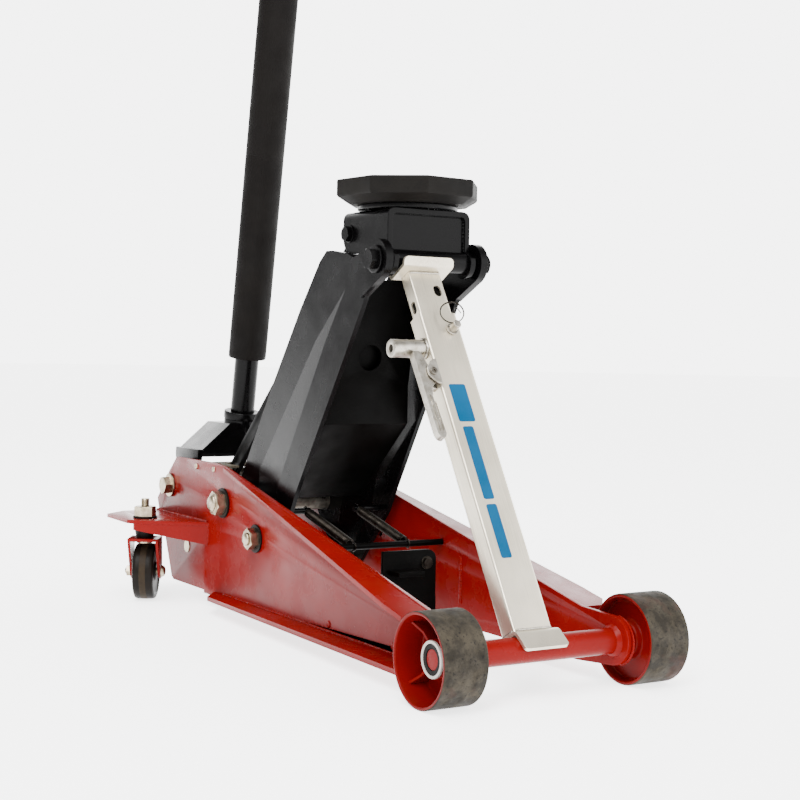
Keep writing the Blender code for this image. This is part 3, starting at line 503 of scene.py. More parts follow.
def frame_looks():
    for word, side in SIDES:
        dress("side_plate_" + word, RED, 0.0011, 3)
        dress("caster_bracket_" + word, RED, 0.0016, 3)
        out = side * PLATE_OUT
        lower = bead((AXLE_X - 0.600, out, 0.0248), (AXLE_X - 0.064, out, 0.0248), 0.0020)
        under = []
        for k in range(7):
            x = FLANGE_REAR + 0.03 + k * 0.078
            under.append(bead((AXLE_X + x, side * (PLATE_OUT + 0.0004), top_line(x) - 0.0075),
                    (AXLE_X + x + 0.03, side * (PLATE_OUT + 0.0004),
                    top_line(x + 0.03) - 0.0075), 0.0016))
        inner = bead((AXLE_X - 0.30, side * (PLATE_IN - 0.0002), 0.045),
                (AXLE_X - 0.30, side * (PLATE_IN - 0.0002), 0.105), 0.0022)
        piece("frame_weld_" + word, merge(lower, inner, *under), RED, "frame")
        shelf = bead((AXLE_X - 0.842, out, BRACKET_Z + 0.0004), (AXLE_X - 0.658, out,
                BRACKET_Z + 0.0004), 0.0021)
        end = bead((AXLE_X - 0.6545, out, BRACKET_Z), (AXLE_X - 0.6545, out, BRACKET_Z - 0.028), 0.0019)
        piece("bracket_weld_" + word, merge(shelf, end), RED, "frame")
        ring = [Vector((AXLE_X + 0.0285 * math.cos(a), side * (PLATE_OUT + 0.0006),
                0.050 + 0.0265 * math.sin(a))) for a in [math.radians(-75 + 5 * k) for k in range(33)]]
        piece("nose_weld_" + word, tube_on(ring, 0.0014, 6, lambda i: 0.85 + 0.25 * (i % 2)), RED,
              "frame")
        plugs = []
        for x, z in ((-0.150, 0.0335), (-0.300, 0.0335)):
            plugs.append(spin(soften([(0, 0.0), (0.0046, 0.0), (0.0040, 0.0013), (0, 0.0017)], 0.0006),
                    spot((x, z), out), (0, side, 0), 24))
        for x, z in ((-0.640, 0.1935), (-0.700, 0.1935)):
            rivet = soften([(0, 0.0), (0.0042, 0.0), (0.0036, 0.0012), (0.0017, 0.0015), (0, 0.0004)],
                    0.0004)
            plugs.append(spin(rivet, spot((x, z), out), (0, side, 0), 20))
        piece("plate_rivets_" + word, merge(*plugs[:2]), RED, "frame")
        piece("plate_studs_" + word, merge(*plugs[2:]), ZINC, "frame")
        small = soften(rod_outline(0.0085, 0.0, 0.0012), 0.0004)
        at, out = spot((-0.740, 0.075), side * PLATE_IN * 0.93), (0, side, 0)
        low_bolt = merge(spin(small, at, out, 32), hexagon(at, out, 0.0088, 0.0085))
        piece("low_bolt_" + word, low_bolt, ZINC, "frame")
    reach = WHEEL_OUT - 0.017
    axle = soften(rod_outline(0.011, -reach, reach), 0.0012)
    piece("front_axle_look", spin(axle, spot((0, 0.050)), (0, 1, 0), 48), RED, "frame", ("front_axle",))
    tube = PLATE_IN - 0.0003
    outer = ring_outline(0.0113, 0.0142, -tube, tube)
    piece("axle_tube_look", spin(outer, spot((0, 0.050)), (0, 1, 0), 56), RED, "frame", ("axle_tube",))
    for word, side in SIDES:
        flare = soften([(0.0142, -0.0005), (0.0185, -0.0005), (0.0160, 0.0030), (0.0142, 0.0055)],
                0.001, True)
        piece("axle_weld_" + word, spin(flare, spot((0, 0.050), side * PLATE_IN), (0, -side, 0), 48),
              RED, "frame")
        collar = soften(ring_outline(0.0163, 0.0195, 0.0, 0.0032), 0.0007, True)
        at = spot((0, 0.050), side * (WHEEL_IN + 0.0343))
        piece("hub_ring_" + word, spin(collar, at, (0, side, 0), 56), WHITE, "frame",
              ("front_wheel_collar_" + word,))
        # Painted shade: a flat dark ring between the white collar and the axle end stands in for the
        # shadow in the hub recess, not a real part
        dark = ring_outline(0.0113, 0.0164, 0.0, 0.0022)
        piece("hub_recess_shade_" + word, spin(dark, at, (0, side, 0), 48), DARK, "frame")
    dress("rear_cover", COVER, 0.0006)
    dress("cross_bracket", INNER_BLACK, 0.0012)
    bolt_at = (AXLE_X - 0.2748, 0.0, 0.098)
    heads = []
    for y, z in ((-0.020, 0.072), (0.024, 0.104)):
        heads.append(hexagon((bolt_at[0], y, z), (1, 0, 0), 0.0058, 0.0045))
        heads.append(spin(soften(rod_outline(0.008, 0, 0.0011), 0.0004),
                (bolt_at[0], y, z), (1, 0, 0), 28))
    piece("bracket_bolts", merge(*heads), SPRING, "frame")
    bar = PLATE_IN - 0.0006
    piece("spring_bar_look", spin(rod_outline(0.004, -bar, bar), spot(SPRING_BAR),
            (0, 1, 0), 24), INNER_BLACK, "frame", ("spring_bar",))


def fasteners():
    for word, side in SIDES:
        face = side * (PLATE_OUT + 0.0003)
        out = (0, side, 0)
        at = spot(PIVOT, face)
        washer = washer_on(at, out, 0.009, 0.0205, 0.003, 0.0008)
        piece("arm_washer_" + word, washer, DARK, "frame")
        dome = soften([(0, 0.0155), (0.0115, 0.0155), (0.0112, 0.0185), (0.0085, 0.0205), (0, 0.0212)],
                0.0012)
        nut = hexagon(at + Vector((0, side * 0.003, 0)), out, 0.0150, 0.0125, turn=12.0)
        lip = spin(soften([(0.010, 0.0150), (0.0136, 0.0150), (0.0132, 0.0166), (0.010, 0.0168)],
                0.0005, True), at, out)
        piece("arm_nut_" + word, merge(nut, lip, spin(dome, at, out)), ZINC, "frame",
              ("arm_shaft",) if side < 0 else ())
        at = spot((-0.502, 0.113), face)
        washer = washer_on(at, out, 0.008, 0.0185, 0.0022, 0.0007)
        piece("tie_washer_" + word, washer, DARK, "frame")
        tip = soften([(0, 0.0135), (0.0086, 0.0135), (0.0083, 0.0160), (0.0055, 0.0176), (0, 0.0181)],
                0.001)
        nut = hexagon(at + Vector((0, side * 0.0022, 0)), out, 0.0125, 0.0112, turn=25.0)
        piece("tie_nut_" + word, merge(nut, spin(tip, at, out)), ZINC, "frame", ("tie_bolt_" + word,))
        at = spot(YOKE, face)
        washer = washer_on(at, out, 0.007, 0.017, 0.003, 0.0007)
        shank = spin(rod_outline(0.008, -0.026, 0.001), at, out, 32)
        piece("yoke_washer_" + word, merge(washer, shank), ZINC, "frame")
        head = hexagon(at + Vector((0, side * 0.003, 0)), out, 0.0118, 0.0105, turn=-8.0)
        piece("yoke_head_" + word, head, ZINC, "frame", ("yoke_bolt_" + word,))
    shaft = spin([(0, -0.0965), (0.0111, -0.0965), (0.0111, -0.0907), (0.014, -0.0907), (0.014, 0.0907),
            (0.0111, 0.0907), (0.0111, 0.0965), (0, 0.0965)], spot(PIVOT), (0, 1, 0), 48)
    piece("arm_shaft_core", shaft, STEEL, "frame")


# Wheels ------------------------------------------------------------------------------------

def front_wheels():
    width = WHEEL_OUT - WHEEL_IN
    for word, side in SIDES:
        centre = spot((0, 0.050), side * WHEEL_IN)
        profile = [(0.0114, 0.004), (0.019, 0.004), (0.021, 0.012), (0.0445, 0.012), (0.0455, 0.0),
                (WHEEL_R, 0.0),
                (WHEEL_R, width), (0.0462, width), (0.0448, width - 0.014), (0.0440, 0.020), (0.0215,
                0.0205), (0.0208, 0.034), (0.0114, 0.034)]
        mesh = spin(soften(profile, 0.0028, True, 4), centre, (0, side, 0), 96)
        for face in mesh.faces:
            spread = [math.hypot(v.co.x - centre.x, v.co.z - centre.z) for v in face.verts]
            if min(spread) > WHEEL_R - 0.0016:
                face.material_index = 1
        piece("front_wheel_%s_look" % word, mesh, WHEEL_RED, "wheel_" + word, ("front_wheel_" + word,),
              second=TREAD)
        ribs = []
        for k in range(4):
            turn = math.radians(41 + 90 * k)
            along = Vector((math.cos(turn), 0, math.sin(turn)))
            across = Vector((-math.sin(turn), 0, math.cos(turn))) * 0.0016
            out = Vector((0, side, 0))
            corners = [centre + along * 0.020 + out * 0.019, centre + along * 0.0446 + out * 0.019,
                    centre + along * 0.0450 + out * 0.043, centre + along * 0.032 + out * 0.0345,
                    centre + along * 0.0200 + out * 0.0325]
            ribs.append(prism([c - across for c in corners], across * 2))
        piece("wheel_ribs_" + word, merge(*ribs), WHEEL_RED, "wheel_" + word, bevel=0.0005)


def casters():
    for word, side in SIDES:
        pivot = Vector((AXLE_X + SWIVEL[0], side * SWIVEL[1], 0.0))
        back = Vector((-math.cos(CASTER_YAW), -side * math.sin(CASTER_YAW), 0.0))
        across = UP.cross(back)
        hub = pivot + back * TRAIL + Vector((0, 0, CASTER_R))
        dress("caster_fork_" + word, RED, 0.0011, 3)
        cone = soften([(0.0066, 0.0), (0.0122, 0.0), (0.0168, 0.0225), (0.0066, 0.0225)], 0.001, True)
        piece("caster_cone_" + word, spin(cone, pivot + Vector((0, 0, 0.0903)), UP, 48), DARK,
              "swivel_" + word)
        top = pivot + Vector((0, 0, BRACKET_Z + 0.0003))
        washer = washer_on(top, UP, 0.006, 0.0170, 0.0026, 0.0008)
        piece("caster_washer_" + word, washer, DARK, "frame")
        thread = [(0, 0.0150)]
        for k in range(7):
            thread += [(0.0052, 0.0152 + k * 0.0017), (0.0060, 0.0160 + k * 0.0017)]
        thread += [(0.0050, 0.0276), (0, 0.0279)]
        nut = hexagon(top + Vector((0, 0, 0.0026)), UP, 0.0136, 0.0140, turn=14.0)
        stud = spin(rod_outline(0.0060, -0.0355, 0.003), top, UP, 32)
        head = spin(soften(rod_outline(0.011, -0.0357, -0.0327), 0.0008), top, UP, 40)
        piece("caster_nut_" + word, merge(nut, spin(thread, top, UP, 40), stud, head), ZINC, "frame",
              ("caster_stud_" + word,))
        half = 0.0150
        near = [(0.0052, -half), (0.0120, -half), (0.0135, -half + 0.0022), (0.0300, -half + 0.0022),
                (0.0345, -half), (0.0388, -half + 0.0014), (CASTER_R - 0.0002, -half + 0.0052)]
        tread = soften(near + [(r, -h) for r, h in near[::-1]], 0.0012, True)
        piece("caster_wheel_%s_look" % word, spin(tread, hub, across, 72), TYRE, "caster_" + word,
              ("caster_wheel_" + word,))
        band = soften([(0.0385, -0.0050), (CASTER_R, -0.0046), (CASTER_R, 0.0046), (0.0385, 0.0050)],
                0.0006, True)
        piece("caster_band_" + word, spin(band, hub, across, 72), WORN, "caster_" + word)
        bolt = [(0, -0.0278), (0.0036, -0.0276), (0.0072, -0.0258), (0.0086, -0.0230),
                (0.0086, -0.0218), (0.0040, -0.0218), (0.0040, 0.0285), (0.0032, 0.0300), (0, 0.0300)]
        nut = hexagon(hub + across * 0.0218, across, 0.0068, 0.0060)
        piece("caster_bolt_" + word, merge(spin(bolt, hub, across, 40), nut), ZINC, "swivel_" + word,
              ("caster_axle_" + word,))


# Lifting parts -----------------------------------------------------------------------------

def crisp_folds(made):
    """Keeps the shallow folds of a bent plate sharp, and its round edges smooth."""
    mesh = bmesh.new()
    mesh.from_mesh(made.data)
    for edge in mesh.edges:
        along = (edge.verts[1].co - edge.verts[0].co).normalized()
        if len(edge.link_faces) == 2 and edge.calc_face_angle() > math.radians(4) and abs(along.y) < 0.5:
            edge.smooth = False
    mesh.to_mesh(made.data)
    mesh.free()


def lifting_looks():
    for word, side in SIDES:
        crisp_folds(dress("lift_arm_" + word, BLACK, 0.0009, 3))
        dress("link_bar_" + word, INNER_BLACK, 0.0006)
        out = (0, side, 0)
        at = spot(HEAD, side * 0.0715)
        washer = washer_on(at, out, 0.006, 0.0165, 0.0030, 0.0008)
        head = hexagon(at + Vector((0, side * 0.0030, 0)), out, 0.0112, 0.0086, turn=9.0)
        piece("head_bolt_" + word, merge(washer, head), BLACK, "arm")
        at = spot((HEAD[0] + LINK_OFFSET[0], HEAD[1] + LINK_OFFSET[1]), side * 0.0577)
        washer = washer_on(at, out, 0.005, 0.0108, 0.0014, 0.0004)
        piece("link_head_" + word, merge(washer, hexagon(at + Vector((0, side * 0.0014, 0)), out,
                0.0084, 0.0062, turn=20.0)), BLACK, "saddle")
    shaft = spin(rod_outline(0.013, -0.0718, 0.0718), spot(HEAD), (0, 1, 0), 48)
    piece("saddle_shaft_look", shaft, BLACK, "arm", ("saddle_shaft",))
    link = spot((HEAD[0] + LINK_OFFSET[0], HEAD[1] + LINK_OFFSET[1]))
    piece("link_bolt_look", spin(rod_outline(0.006, -0.0582, 0.0582), link,
            (0, 1, 0), 32), BLACK, "saddle", ("link_bolt",))
    dress("arm_web", INNER_BLACK, 0.0008)
    lean = Vector((-0.982, 0, 0.188))
    backing = spin(soften(rod_outline(0.024, 0.0, 0.0015), 0.0004), spot((-0.3895, 0.353)), lean, 40)
    piece("web_backing", backing, INNER_BLACK, "arm")
    for node in ("ram_pin", "link_pin", "lifting_ram"):
        dress(node, STEEL, 0.0004)
    dress("hydraulic_cylinder", INNER_BLACK, 0.0006)
    dress("pump_block", INNER_BLACK, 0.0010)
    dress("pump_cam", STEEL, 0.0006)
    dress("pump_plunger", STEEL, 0.0004)
    dress("release_valve", ZINC, 0.0004)
    low, high = spot(SPRING_BAR), spot(SPRING_PEG)
    axis, first, other = cross_axes(high - low)
    length = (high - low).length
    coils, per_turn, reach_in, coil_r = 46, 14, 0.0095, 0.0055
    for word, side in SIDES:
        shift = Vector((0, side * SPRING_Y, 0))
        points = []
        for i in range(coils * per_turn + 1):
            a = 2 * math.pi * i / per_turn
            reach = reach_in + (length - 2 * reach_in) * i / (coils * per_turn)
            swing = first * (coil_r * math.cos(a)) + other * (coil_r * math.sin(a))
            points.append(low + shift + axis * reach + swing)
        ends = []
        for base, toward in ((low, axis), (high, -axis)):
            hook = []
            for k in range(17):
                a = math.radians(150 - 300 * k / 16)
                out = toward * (0.0002 - 0.0052 * math.cos(a))
                hook.append(base + shift + out + first * (0.0052 * math.sin(a)))
            if base is high:
                hook = hook[:14] + [base + shift + toward * 0.0080, base + shift + toward * 0.0155]
            else:
                hook.append(base + shift + toward * 0.0095 + first * -0.0050)
            ends.append(tube_on(hook, 0.0009, 6))
        piece("return_coil_" + word, merge(tube_on(points, 0.0010, 6), ends[0]), SPRING, "springs",
              ("return_spring_" + word,))
        piece("return_hook_" + word, ends[1], SPRING, "arm")


def saddle_looks():
    x0, x1, z0, z1, half = -0.352, -0.244, 0.478, 0.530, 0.0575
    wall, corner = 0.007, 0.011
    outer = [(-half, z0), (-half, z1), (half, z1), (half, z0)]
    inner = [(half - wall, z0), (half - wall, z1 - wall), (-half + wall, z1 - wall), (-half + wall, z0)]
    outline = soften(outer, corner, False, 6) + soften(inner, corner * 0.5, False, 4)
    shell = piece("saddle_shell", prism([(AXLE_X + x0, y, z) for y, z in outline], (x1 - x0, 0, 0)),
            BLACK, "saddle", ("saddle_bracket",), bevel=0.0009, segments=3)
    wedge = [(x0 - 0.002, z0 - 0.002), (x0 + 0.024, z0 - 0.002)] + circle(x0 + 0.022, z0 + 0.022, 0.022,
            270, 180, 10)
    wedge += [(x0 - 0.002, z0 + 0.022)]
    carve(shell, side_prism(wedge, -0.08, 0.08))
    plate_in, plate_out = x1 - 0.0100, x1 - 0.0045
    y, top = half - wall + 0.001, z1 - wall + 0.001
    front = soften([(-y, z0 + 0.001), (-y, top), (y, top), (y, z0 + 0.001)], 0.004)
    piece("saddle_front", prism([(AXLE_X + plate_in, b, z) for b, z in front], (plate_out - plate_in, 0,
            0)), BLACK, "saddle", bevel=0.0006)
    edge = AXLE_X + plate_out
    beads = [bead((edge, -y, z0 + 0.004), (edge, -y, top - 0.003), 0.0026),
            bead((edge, y, z0 + 0.004), (edge, y, top - 0.003), 0.0026),
            bead((edge, -y + 0.003, top), (edge, y - 0.003, top), 0.0022)]
    piece("saddle_weld", merge(*beads), BLACK, "saddle")
    for word, side in SIDES:
        lobe = circle(*HEAD, 0.0185, -190, 20, 28) + [(HEAD[0] + 0.003, z0 + 0.004),
                (HEAD[0] - 0.026, z0 + 0.004)]
        piece("saddle_lug_" + word, side_prism(lobe, side * 0.0573, side * 0.0498), BLACK, "saddle",
              bevel=0.0009)
    seat = spot((PAD_X, z1))
    disc = soften(rod_outline(0.061, 0.0008, 0.0069), 0.0014)
    neck = [(0, -0.0192), (0.009, -0.0192), (0.019, -0.0150), (0.019, -0.0066), (0.0140, -0.0066),
            (0.0140, 0.001), (0, 0.001)]
    piece("saddle_disc", merge(spin(disc, seat, UP, 96), spin(neck, seat, UP, 40)), BLACK, "pad",
          ("saddle_plate",))
    base = Vector((AXLE_X + PAD_X, 0, PAD_BASE))
    pad = bmesh.new()
    rings = []
    for height, radius in ((0.0, 0.0735), (0.0085, PAD_R - 0.001), (0.0105, PAD_R), (0.0277, PAD_R),
                           (0.0290, PAD_R - 0.0016),
                           (0.0290, PAD_R - 0.0125), (0.0270, PAD_R - 0.0142)):
        turns = [PAD_TURN + math.radians(22.5 + 45 * k) for k in range(8)]
        rings.append([pad.verts.new(base + Vector((radius * math.cos(a), radius * math.sin(a),
                height))) for a in turns])
    pad.faces.new(rings[0])
    pad.faces.new(rings[-1])
    for low, high in zip(rings, rings[1:]):
        for k in range(8):
            pad.faces.new((low[k], low[(k + 1) % 8], high[(k + 1) % 8], high[k]))
    bmesh.ops.recalc_face_normals(pad, faces=pad.faces)
    piece("pad_block", pad, RUBBER, "pad", ("saddle_pad",), bevel=0.0011, segments=3)
    ribs = []
    turn = Matrix.Rotation(PAD_TURN, 4, "Z")
    for k in range(-4, 5):
        reach = 0.066 if abs(k) < 3 else 0.066 - (abs(k) - 2) * 0.012
        low = [(k * 0.0150 - 0.0048, -reach), (k * 0.0150 + 0.0048, -reach), (k * 0.0150 + 0.0048,
                reach), (k * 0.0150 - 0.0048, reach)]
        outline = [base + turn @ Vector((x, y, 0.0265)) for x, y in low]
        ribs.append(prism(outline, (0, 0, 0.0024)))
    piece("pad_ribs", merge(*ribs), RUBBER, "pad", bevel=0.0007)


# Handle ------------------------------------------------------------------------------------

def handle_looks():
    dress("handle_yoke", BLACK, 0.0010, 3)
    ring = soften([(HANDLE_R + 0.0009, -0.0042), (0.0268, -0.0042), (0.0268, 0.0072),
            (HANDLE_R + 0.0009, 0.0072)], 0.0018, True)
    socket = soften([(HANDLE_R + 0.0009, -0.028), (0.0257, -0.028), (0.0257, -0.003),
            (HANDLE_R + 0.0009, -0.003)], 0.001, True)
    piece("yoke_socket", merge(spin(ring, on_handle(0), HANDLE_DIR), spin(socket, on_handle(0),
            HANDLE_DIR)), BLACK, "yoke")
    lower = soften(rod_outline(HANDLE_R, -0.030, 0.390), 0.001)
    piece("handle_lower_look", spin(lower, on_handle(0), HANDLE_DIR), BLACK, "handle",
          ("handle_lower_tube",))
    upper = soften(rod_outline(HANDLE_R, 0.3903, 0.885), 0.001)
    piece("handle_upper_look", spin(upper, on_handle(0), HANDLE_DIR), BLACK, "handle",
          ("handle_upper_tube",))
    sleeve = [(HANDLE_R + 0.0003, 0.087), (SLEEVE_R - 0.0004, 0.087), (SLEEVE_R, 0.094),
            (SLEEVE_R, 0.380), (SLEEVE_R - 0.0004, 0.3812),
            (SLEEVE_R, 0.3824), (SLEEVE_R, 0.692), (HANDLE_R + 0.0003, 0.692)]
    piece("handle_sleeve_look", spin(soften(sleeve, 0.002, True), on_handle(0), HANDLE_DIR, 72), SLEEVE,
          "handle", ("handle_sleeve",))
    grip = [(HANDLE_R + 0.0003, 0.755), (0.0215, 0.755), (0.0225, 0.759)]
    for k in range(11):
        s = 0.766 + k * 0.0100
        grip += [(0.0218, s), (0.0206, s + 0.0012), (0.0206, s + 0.0036), (0.0218, s + 0.0048)]
    grip += [(0.0225, 0.880), (0.0215, 0.8872), (0.014, 0.8888), (HANDLE_R + 0.0003 - 0.0130, 0.8888),
            (HANDLE_R - 0.0127, 0.8856), (HANDLE_R + 0.0003, 0.8856)]
    piece("handle_grip_look", spin(soften(grip, 0.0008, True, 2), on_handle(0), HANDLE_DIR), RUBBER,
          "handle", ("handle_grip",))


# Safety rod --------------------------------------------------------------------------------

def box_tube(half_w, depth0, depth1, wall, corner, s0, s1):
    """A rounded box tube along the rod, open at both ends."""
    def loop(inset, radius):
        y, a, b = half_w - inset, depth0 + inset, depth1 - inset
        return soften(ring_outline(-y, y, a, b), radius, True, 4)

    outer, inner = loop(0.0, corner), loop(wall, corner * 0.5)
    mesh = bmesh.new()
    rings = []
    for outline, s in ((outer, s0), (outer, s1), (inner, s1), (inner, s0)):
        rings.append([mesh.verts.new(on_rod(s, m, y)) for y, m in outline])
    for first, second in zip(rings, rings[1:] + rings[:1]):
        for k in range(len(first)):
            n = (k + 1) % len(first)
            mesh.faces.new((first[k], first[n], second[n], second[k]))
    bmesh.ops.recalc_face_normals(mesh, faces=mesh.faces)
    return mesh


def oblong(centre, along, across, through, half_length, half_width, depth):
    """A closed long-hole cutter."""
    outline = []
    for sign in (1, -1):
        for k in range(13):
            a = math.radians(-90 + 15 * k)
            u = sign * (half_length - half_width + half_width * math.cos(a))
            v = sign * half_width * math.sin(a)
            outline.append(centre + along * u + across * v - through * depth)
    return prism(outline, through * (2 * depth))


def strip(points, thickness, half_width, corner):
    """A folded flat bar in the rod's side view, with rounded ends."""
    path = soften(points, 0.0035, False, 4)
    total = sum((Vector(b) - Vector(a)).length for a, b in zip(path, path[1:]))
    fine, walked = [], 0.0
    marks = [0.0]
    for a, b in zip(path, path[1:]):
        walked += (Vector(b) - Vector(a)).length
        marks.append(walked)
    insets = [corner * (1 - math.cos(math.radians(15 * k))) for k in range(7)]
    stops = sorted({round(x, 7) for x in marks + insets + [total - x for x in insets]})
    for stop in stops:
        for i in range(len(marks) - 1):
            if marks[i] - 1e-9 <= stop <= marks[i + 1] + 1e-9:
                t = (stop - marks[i]) / max(1e-9, marks[i + 1] - marks[i])
                fine.append((Vector(path[i]).lerp(Vector(path[i + 1]), t), stop))
                break
    mesh = bmesh.new()
    rows = []
    for i, (point, stop) in enumerate(fine):
        before, after = fine[max(i - 1, 0)][0], fine[min(i + 1, len(fine) - 1)][0]
        along = (after - before).normalized()
        normal = Vector((-along.y, along.x))
        near = min(stop, total - stop)
        pull = corner - math.sqrt(max(0.0, corner ** 2 - max(0.0, corner - near) ** 2))
        width = half_width - pull
        top = point + normal * thickness
        rows.append([mesh.verts.new(on_rod(*point, -width)), mesh.verts.new(on_rod(*point, width)),
                mesh.verts.new(on_rod(*top, width)), mesh.verts.new(on_rod(*top, -width))])
    for first, second in zip(rows, rows[1:]):
        for k in range(4):
            n = (k + 1) % 4
            mesh.faces.new((first[k], first[n], second[n], second[k]))
    mesh.faces.new(rows[0])
    mesh.faces.new(rows[-1][::-1])
    bmesh.ops.recalc_face_normals(mesh, faces=mesh.faces)
    return mesh


def rod_looks():
    w = ROD_W
    across = Vector((0, 1, 0))
    outer = piece("rod_outer_look", box_tube(w, -ROD_T, 0.0, 0.0027, 0.0034, 0.0031, ROD_LENGTH),
            BRUSHED, "rod", ("rod_outer_tube",))
    carve(outer, spin(rod_outline(0.0056, -0.02, 0.02), on_rod(PIN_S, 0.0, PIN_Y), ROD_FACE, 32))
    v = w - 0.003
    inner = piece("rod_inner_look", box_tube(v, -ROD_T + 0.003, -0.003, 0.0025, 0.0028, 0.285, ROD_TOP),
            BRUSHED, "rod_inner", ("rod_inner_tube",))
    carve(inner, oblong(on_rod(0.427, 0.0, 0.011), ROD_DIR, across, ROD_FACE, 0.0075, 0.0050, 0.060),
          oblong(on_rod(0.408, MIDDLE, -v), ROD_DIR, ROD_FACE, across, 0.0080, 0.0045, 0.012),
          oblong(on_rod(0.381, MIDDLE, -v), ROD_DIR, ROD_FACE, across, 0.0080, 0.0045, 0.012))
    # Painted shade: a dark block inside the inner tube stands in for the shadowed hollow seen through the
    # slots
    cavity_shade_outline = [on_rod(0.365, -ROD_T + 0.0075, y) for y in (-0.0188, 0.0188)]
    cavity_shade_outline += [on_rod(0.365, -0.0070, y) for y in (0.0188, -0.0188)]
    piece("rod_cavity_shade", prism(cavity_shade_outline, ROD_DIR * (ROD_TOP - 0.3665)), INNER_BLACK, "rod_inner", bevel=0.0006)
    foot = [(-0.0234, 0.0130), (-0.0012, 0.0038), (-0.0012, -0.030), (-0.014, -0.036)]
    piece("rod_foot_look", strip(foot, 0.004, w + 0.003, 0.004), BRUSHED, "rod", ("rod_foot",),
          bevel=0.0008)
    top = ROD_TOP + 0.0003
    cradle = [(ROD_TOP + 0.0095, 0.0159), (top, 0.0095), (top, -0.0245), (ROD_TOP + 0.0200, -0.0305)]
    piece("rod_cradle_look", strip(cradle, 0.004, 0.034, 0.006), BRUSHED, "rod_inner", ("rod_cradle",),
          bevel=0.0008)
    seams = [bead(on_rod(0.0040, 0.0012, -w + 0.003), on_rod(0.0040, 0.0012, w - 0.003), 0.0016,
            0.0028), bead(on_rod(0.0040, -ROD_T * 0.9, -w), on_rod(0.0040, -0.003, -w), 0.0016, 0.0028)]
    piece("rod_foot_weld", merge(*seams), CUT_EDGE, "rod")
    piece("rod_cradle_weld", bead(on_rod(ROD_TOP - 0.0008, -0.0026, -v + 0.002),
            on_rod(ROD_TOP - 0.0008, -0.0026, v - 0.002), 0.0014, 0.0028), CUT_EDGE, "rod_inner")
    boss_at = on_rod(BOSS_S, MIDDLE, -w - 0.0003)
    boss = soften(ring_outline(0.0046, 0.0105, 0.0, 0.044), 0.0009, True)
    piece("lock_boss_look", spin(boss, boss_at, (0, -1, 0), 56), CUT_EDGE, "rod", ("lock_boss",))
    ring = [boss_at + Vector((0, -0.0012,
            0)) + ROD_DIR * (0.0112 * math.cos(a)) + ROD_FACE * (0.0112 * math.sin(a))
            for a in [math.radians(10 * k) for k in range(37)]]
    piece("lock_boss_weld", tube_on(ring, 0.0014, 6, lambda i: 0.85 + 0.3 * (i % 2)), CUT_EDGE, "rod")
    plunger = soften(rod_outline(0.0042, 0.0, 0.030), 0.0006)
    piece("lock_plunger_look", spin(plunger, on_rod(BOSS_S, MIDDLE, -w + 0.0022), (0, -1, 0), 32),
          STEEL, "lock_plunger", ("lock_plunger",))
    hinge = on_rod(HINGE_S, MIDDLE, -w - 0.008)
    lug = [(0.298, 0.0), (0.300, 0.007), (0.309, 0.0155), (0.319, 0.0155), (0.329, 0.007), (0.331, 0.0)]
    lug = soften(lug, 0.003, False, 4)
    piece("lever_lug", prism([on_rod(s, -0.0165, -w + 0.0002 - y) for s, y in lug], ROD_FACE * 0.0079),
          CUT_EDGE, "rod", bevel=0.0006)
    cheek = [on_rod(s, 0.0022, -w + 0.0002 - y) for s, y in lug]
    piece("lever_cheek", prism(cheek, ROD_FACE * 0.0026), CUT_EDGE, "rod", bevel=0.0006)
    pin = soften([(0, -0.0075), (0.0050, -0.0075), (0.0050, -0.0045), (0.0026, -0.0045),
            (0.0026, 0.0148), (0, 0.0148)], 0.0004)
    cap = soften([(0.0017, 0.0150), (0.0048, 0.0150), (0.0048, 0.0190), (0.0040, 0.0196),
            (0.0019, 0.0196), (0.0017, 0.0180)], 0.0004, True)
    piece("lever_bolt_look", merge(spin(pin, hinge, ROD_FACE, 32), spin(cap, hinge, ROD_FACE, 36)),
          STEEL, "rod", ("lever_bolt",))
    bar = [(0.342, 0.0160), (0.309, 0.0060), (0.301, 0.0065), (0.294, 0.0150), (0.236, 0.0118),
           (0.231, 0.0155), (0.233, 0.0215), (0.239, 0.0235), (0.342, 0.0255)]
    bar = soften(bar, 0.003, True, 4)
    lever = piece("release_lever_look", prism([on_rod(s, -0.0080, -w - 0.0003 - y) for s, y in bar],
            ROD_FACE * 0.0095), CUT_EDGE, "lever", ("release_lever",), bevel=0.0008)
    grooves = []
    for y in (0.0150, 0.0195):
        mid = on_rod(0.263, 0.0018, -w - 0.0003 - y)
        grooves.append(oblong(mid, ROD_DIR, across, ROD_FACE, 0.0230, 0.0009, 0.0022))
    carve(lever, *grooves)
    pin_at = on_rod(PIN_S, -0.0024, PIN_Y)
    pin = soften([(0, 0.0), (0.0050, 0.0), (0.0050, 0.0032), (0.0050, 0.0165), (0.0044, 0.0172),
            (0, 0.0174)], 0.0006)
    collar = soften(ring_outline(0.0049, 0.0073, 0.0029, 0.0052), 0.0006, True)
    piece("lock_pin_look", merge(spin(pin, pin_at, ROD_FACE, 36), spin(collar, pin_at, ROD_FACE, 36)),
          CUT_EDGE, "lock_pin", ("lock_pin",))
    ring_at = pin_at + ROD_FACE * 0.0135 + ROD_DIR * 0.0165 + Vector((0, -0.0010, 0))
    hoop = []
    flat, first, second = cross_axes(ROD_FACE + Vector((0, -0.35, 0)))
    for k in range(97):
        a = math.radians(7.5 * k)
        r = 0.0136 + 0.0005 * (k / 96)
        swing = first * (r * math.cos(a)) + second * (r * math.sin(a))
        hoop.append(ring_at + swing + flat * (0.0011 * k / 96))
    piece("split_ring", tube_on(hoop, 0.0007, 8), SPRING, "lock_pin")
    wire = []
    ends = (ring_at + Vector((0, 0.0125, 0)), on_rod(0.420, -0.006, 0.028), on_rod(0.398, -0.016,
            w + 0.009), on_rod(0.374, MIDDLE, w + 0.0006))
    for k in range(41):
        t = k / 40
        a, b, c, d = ends
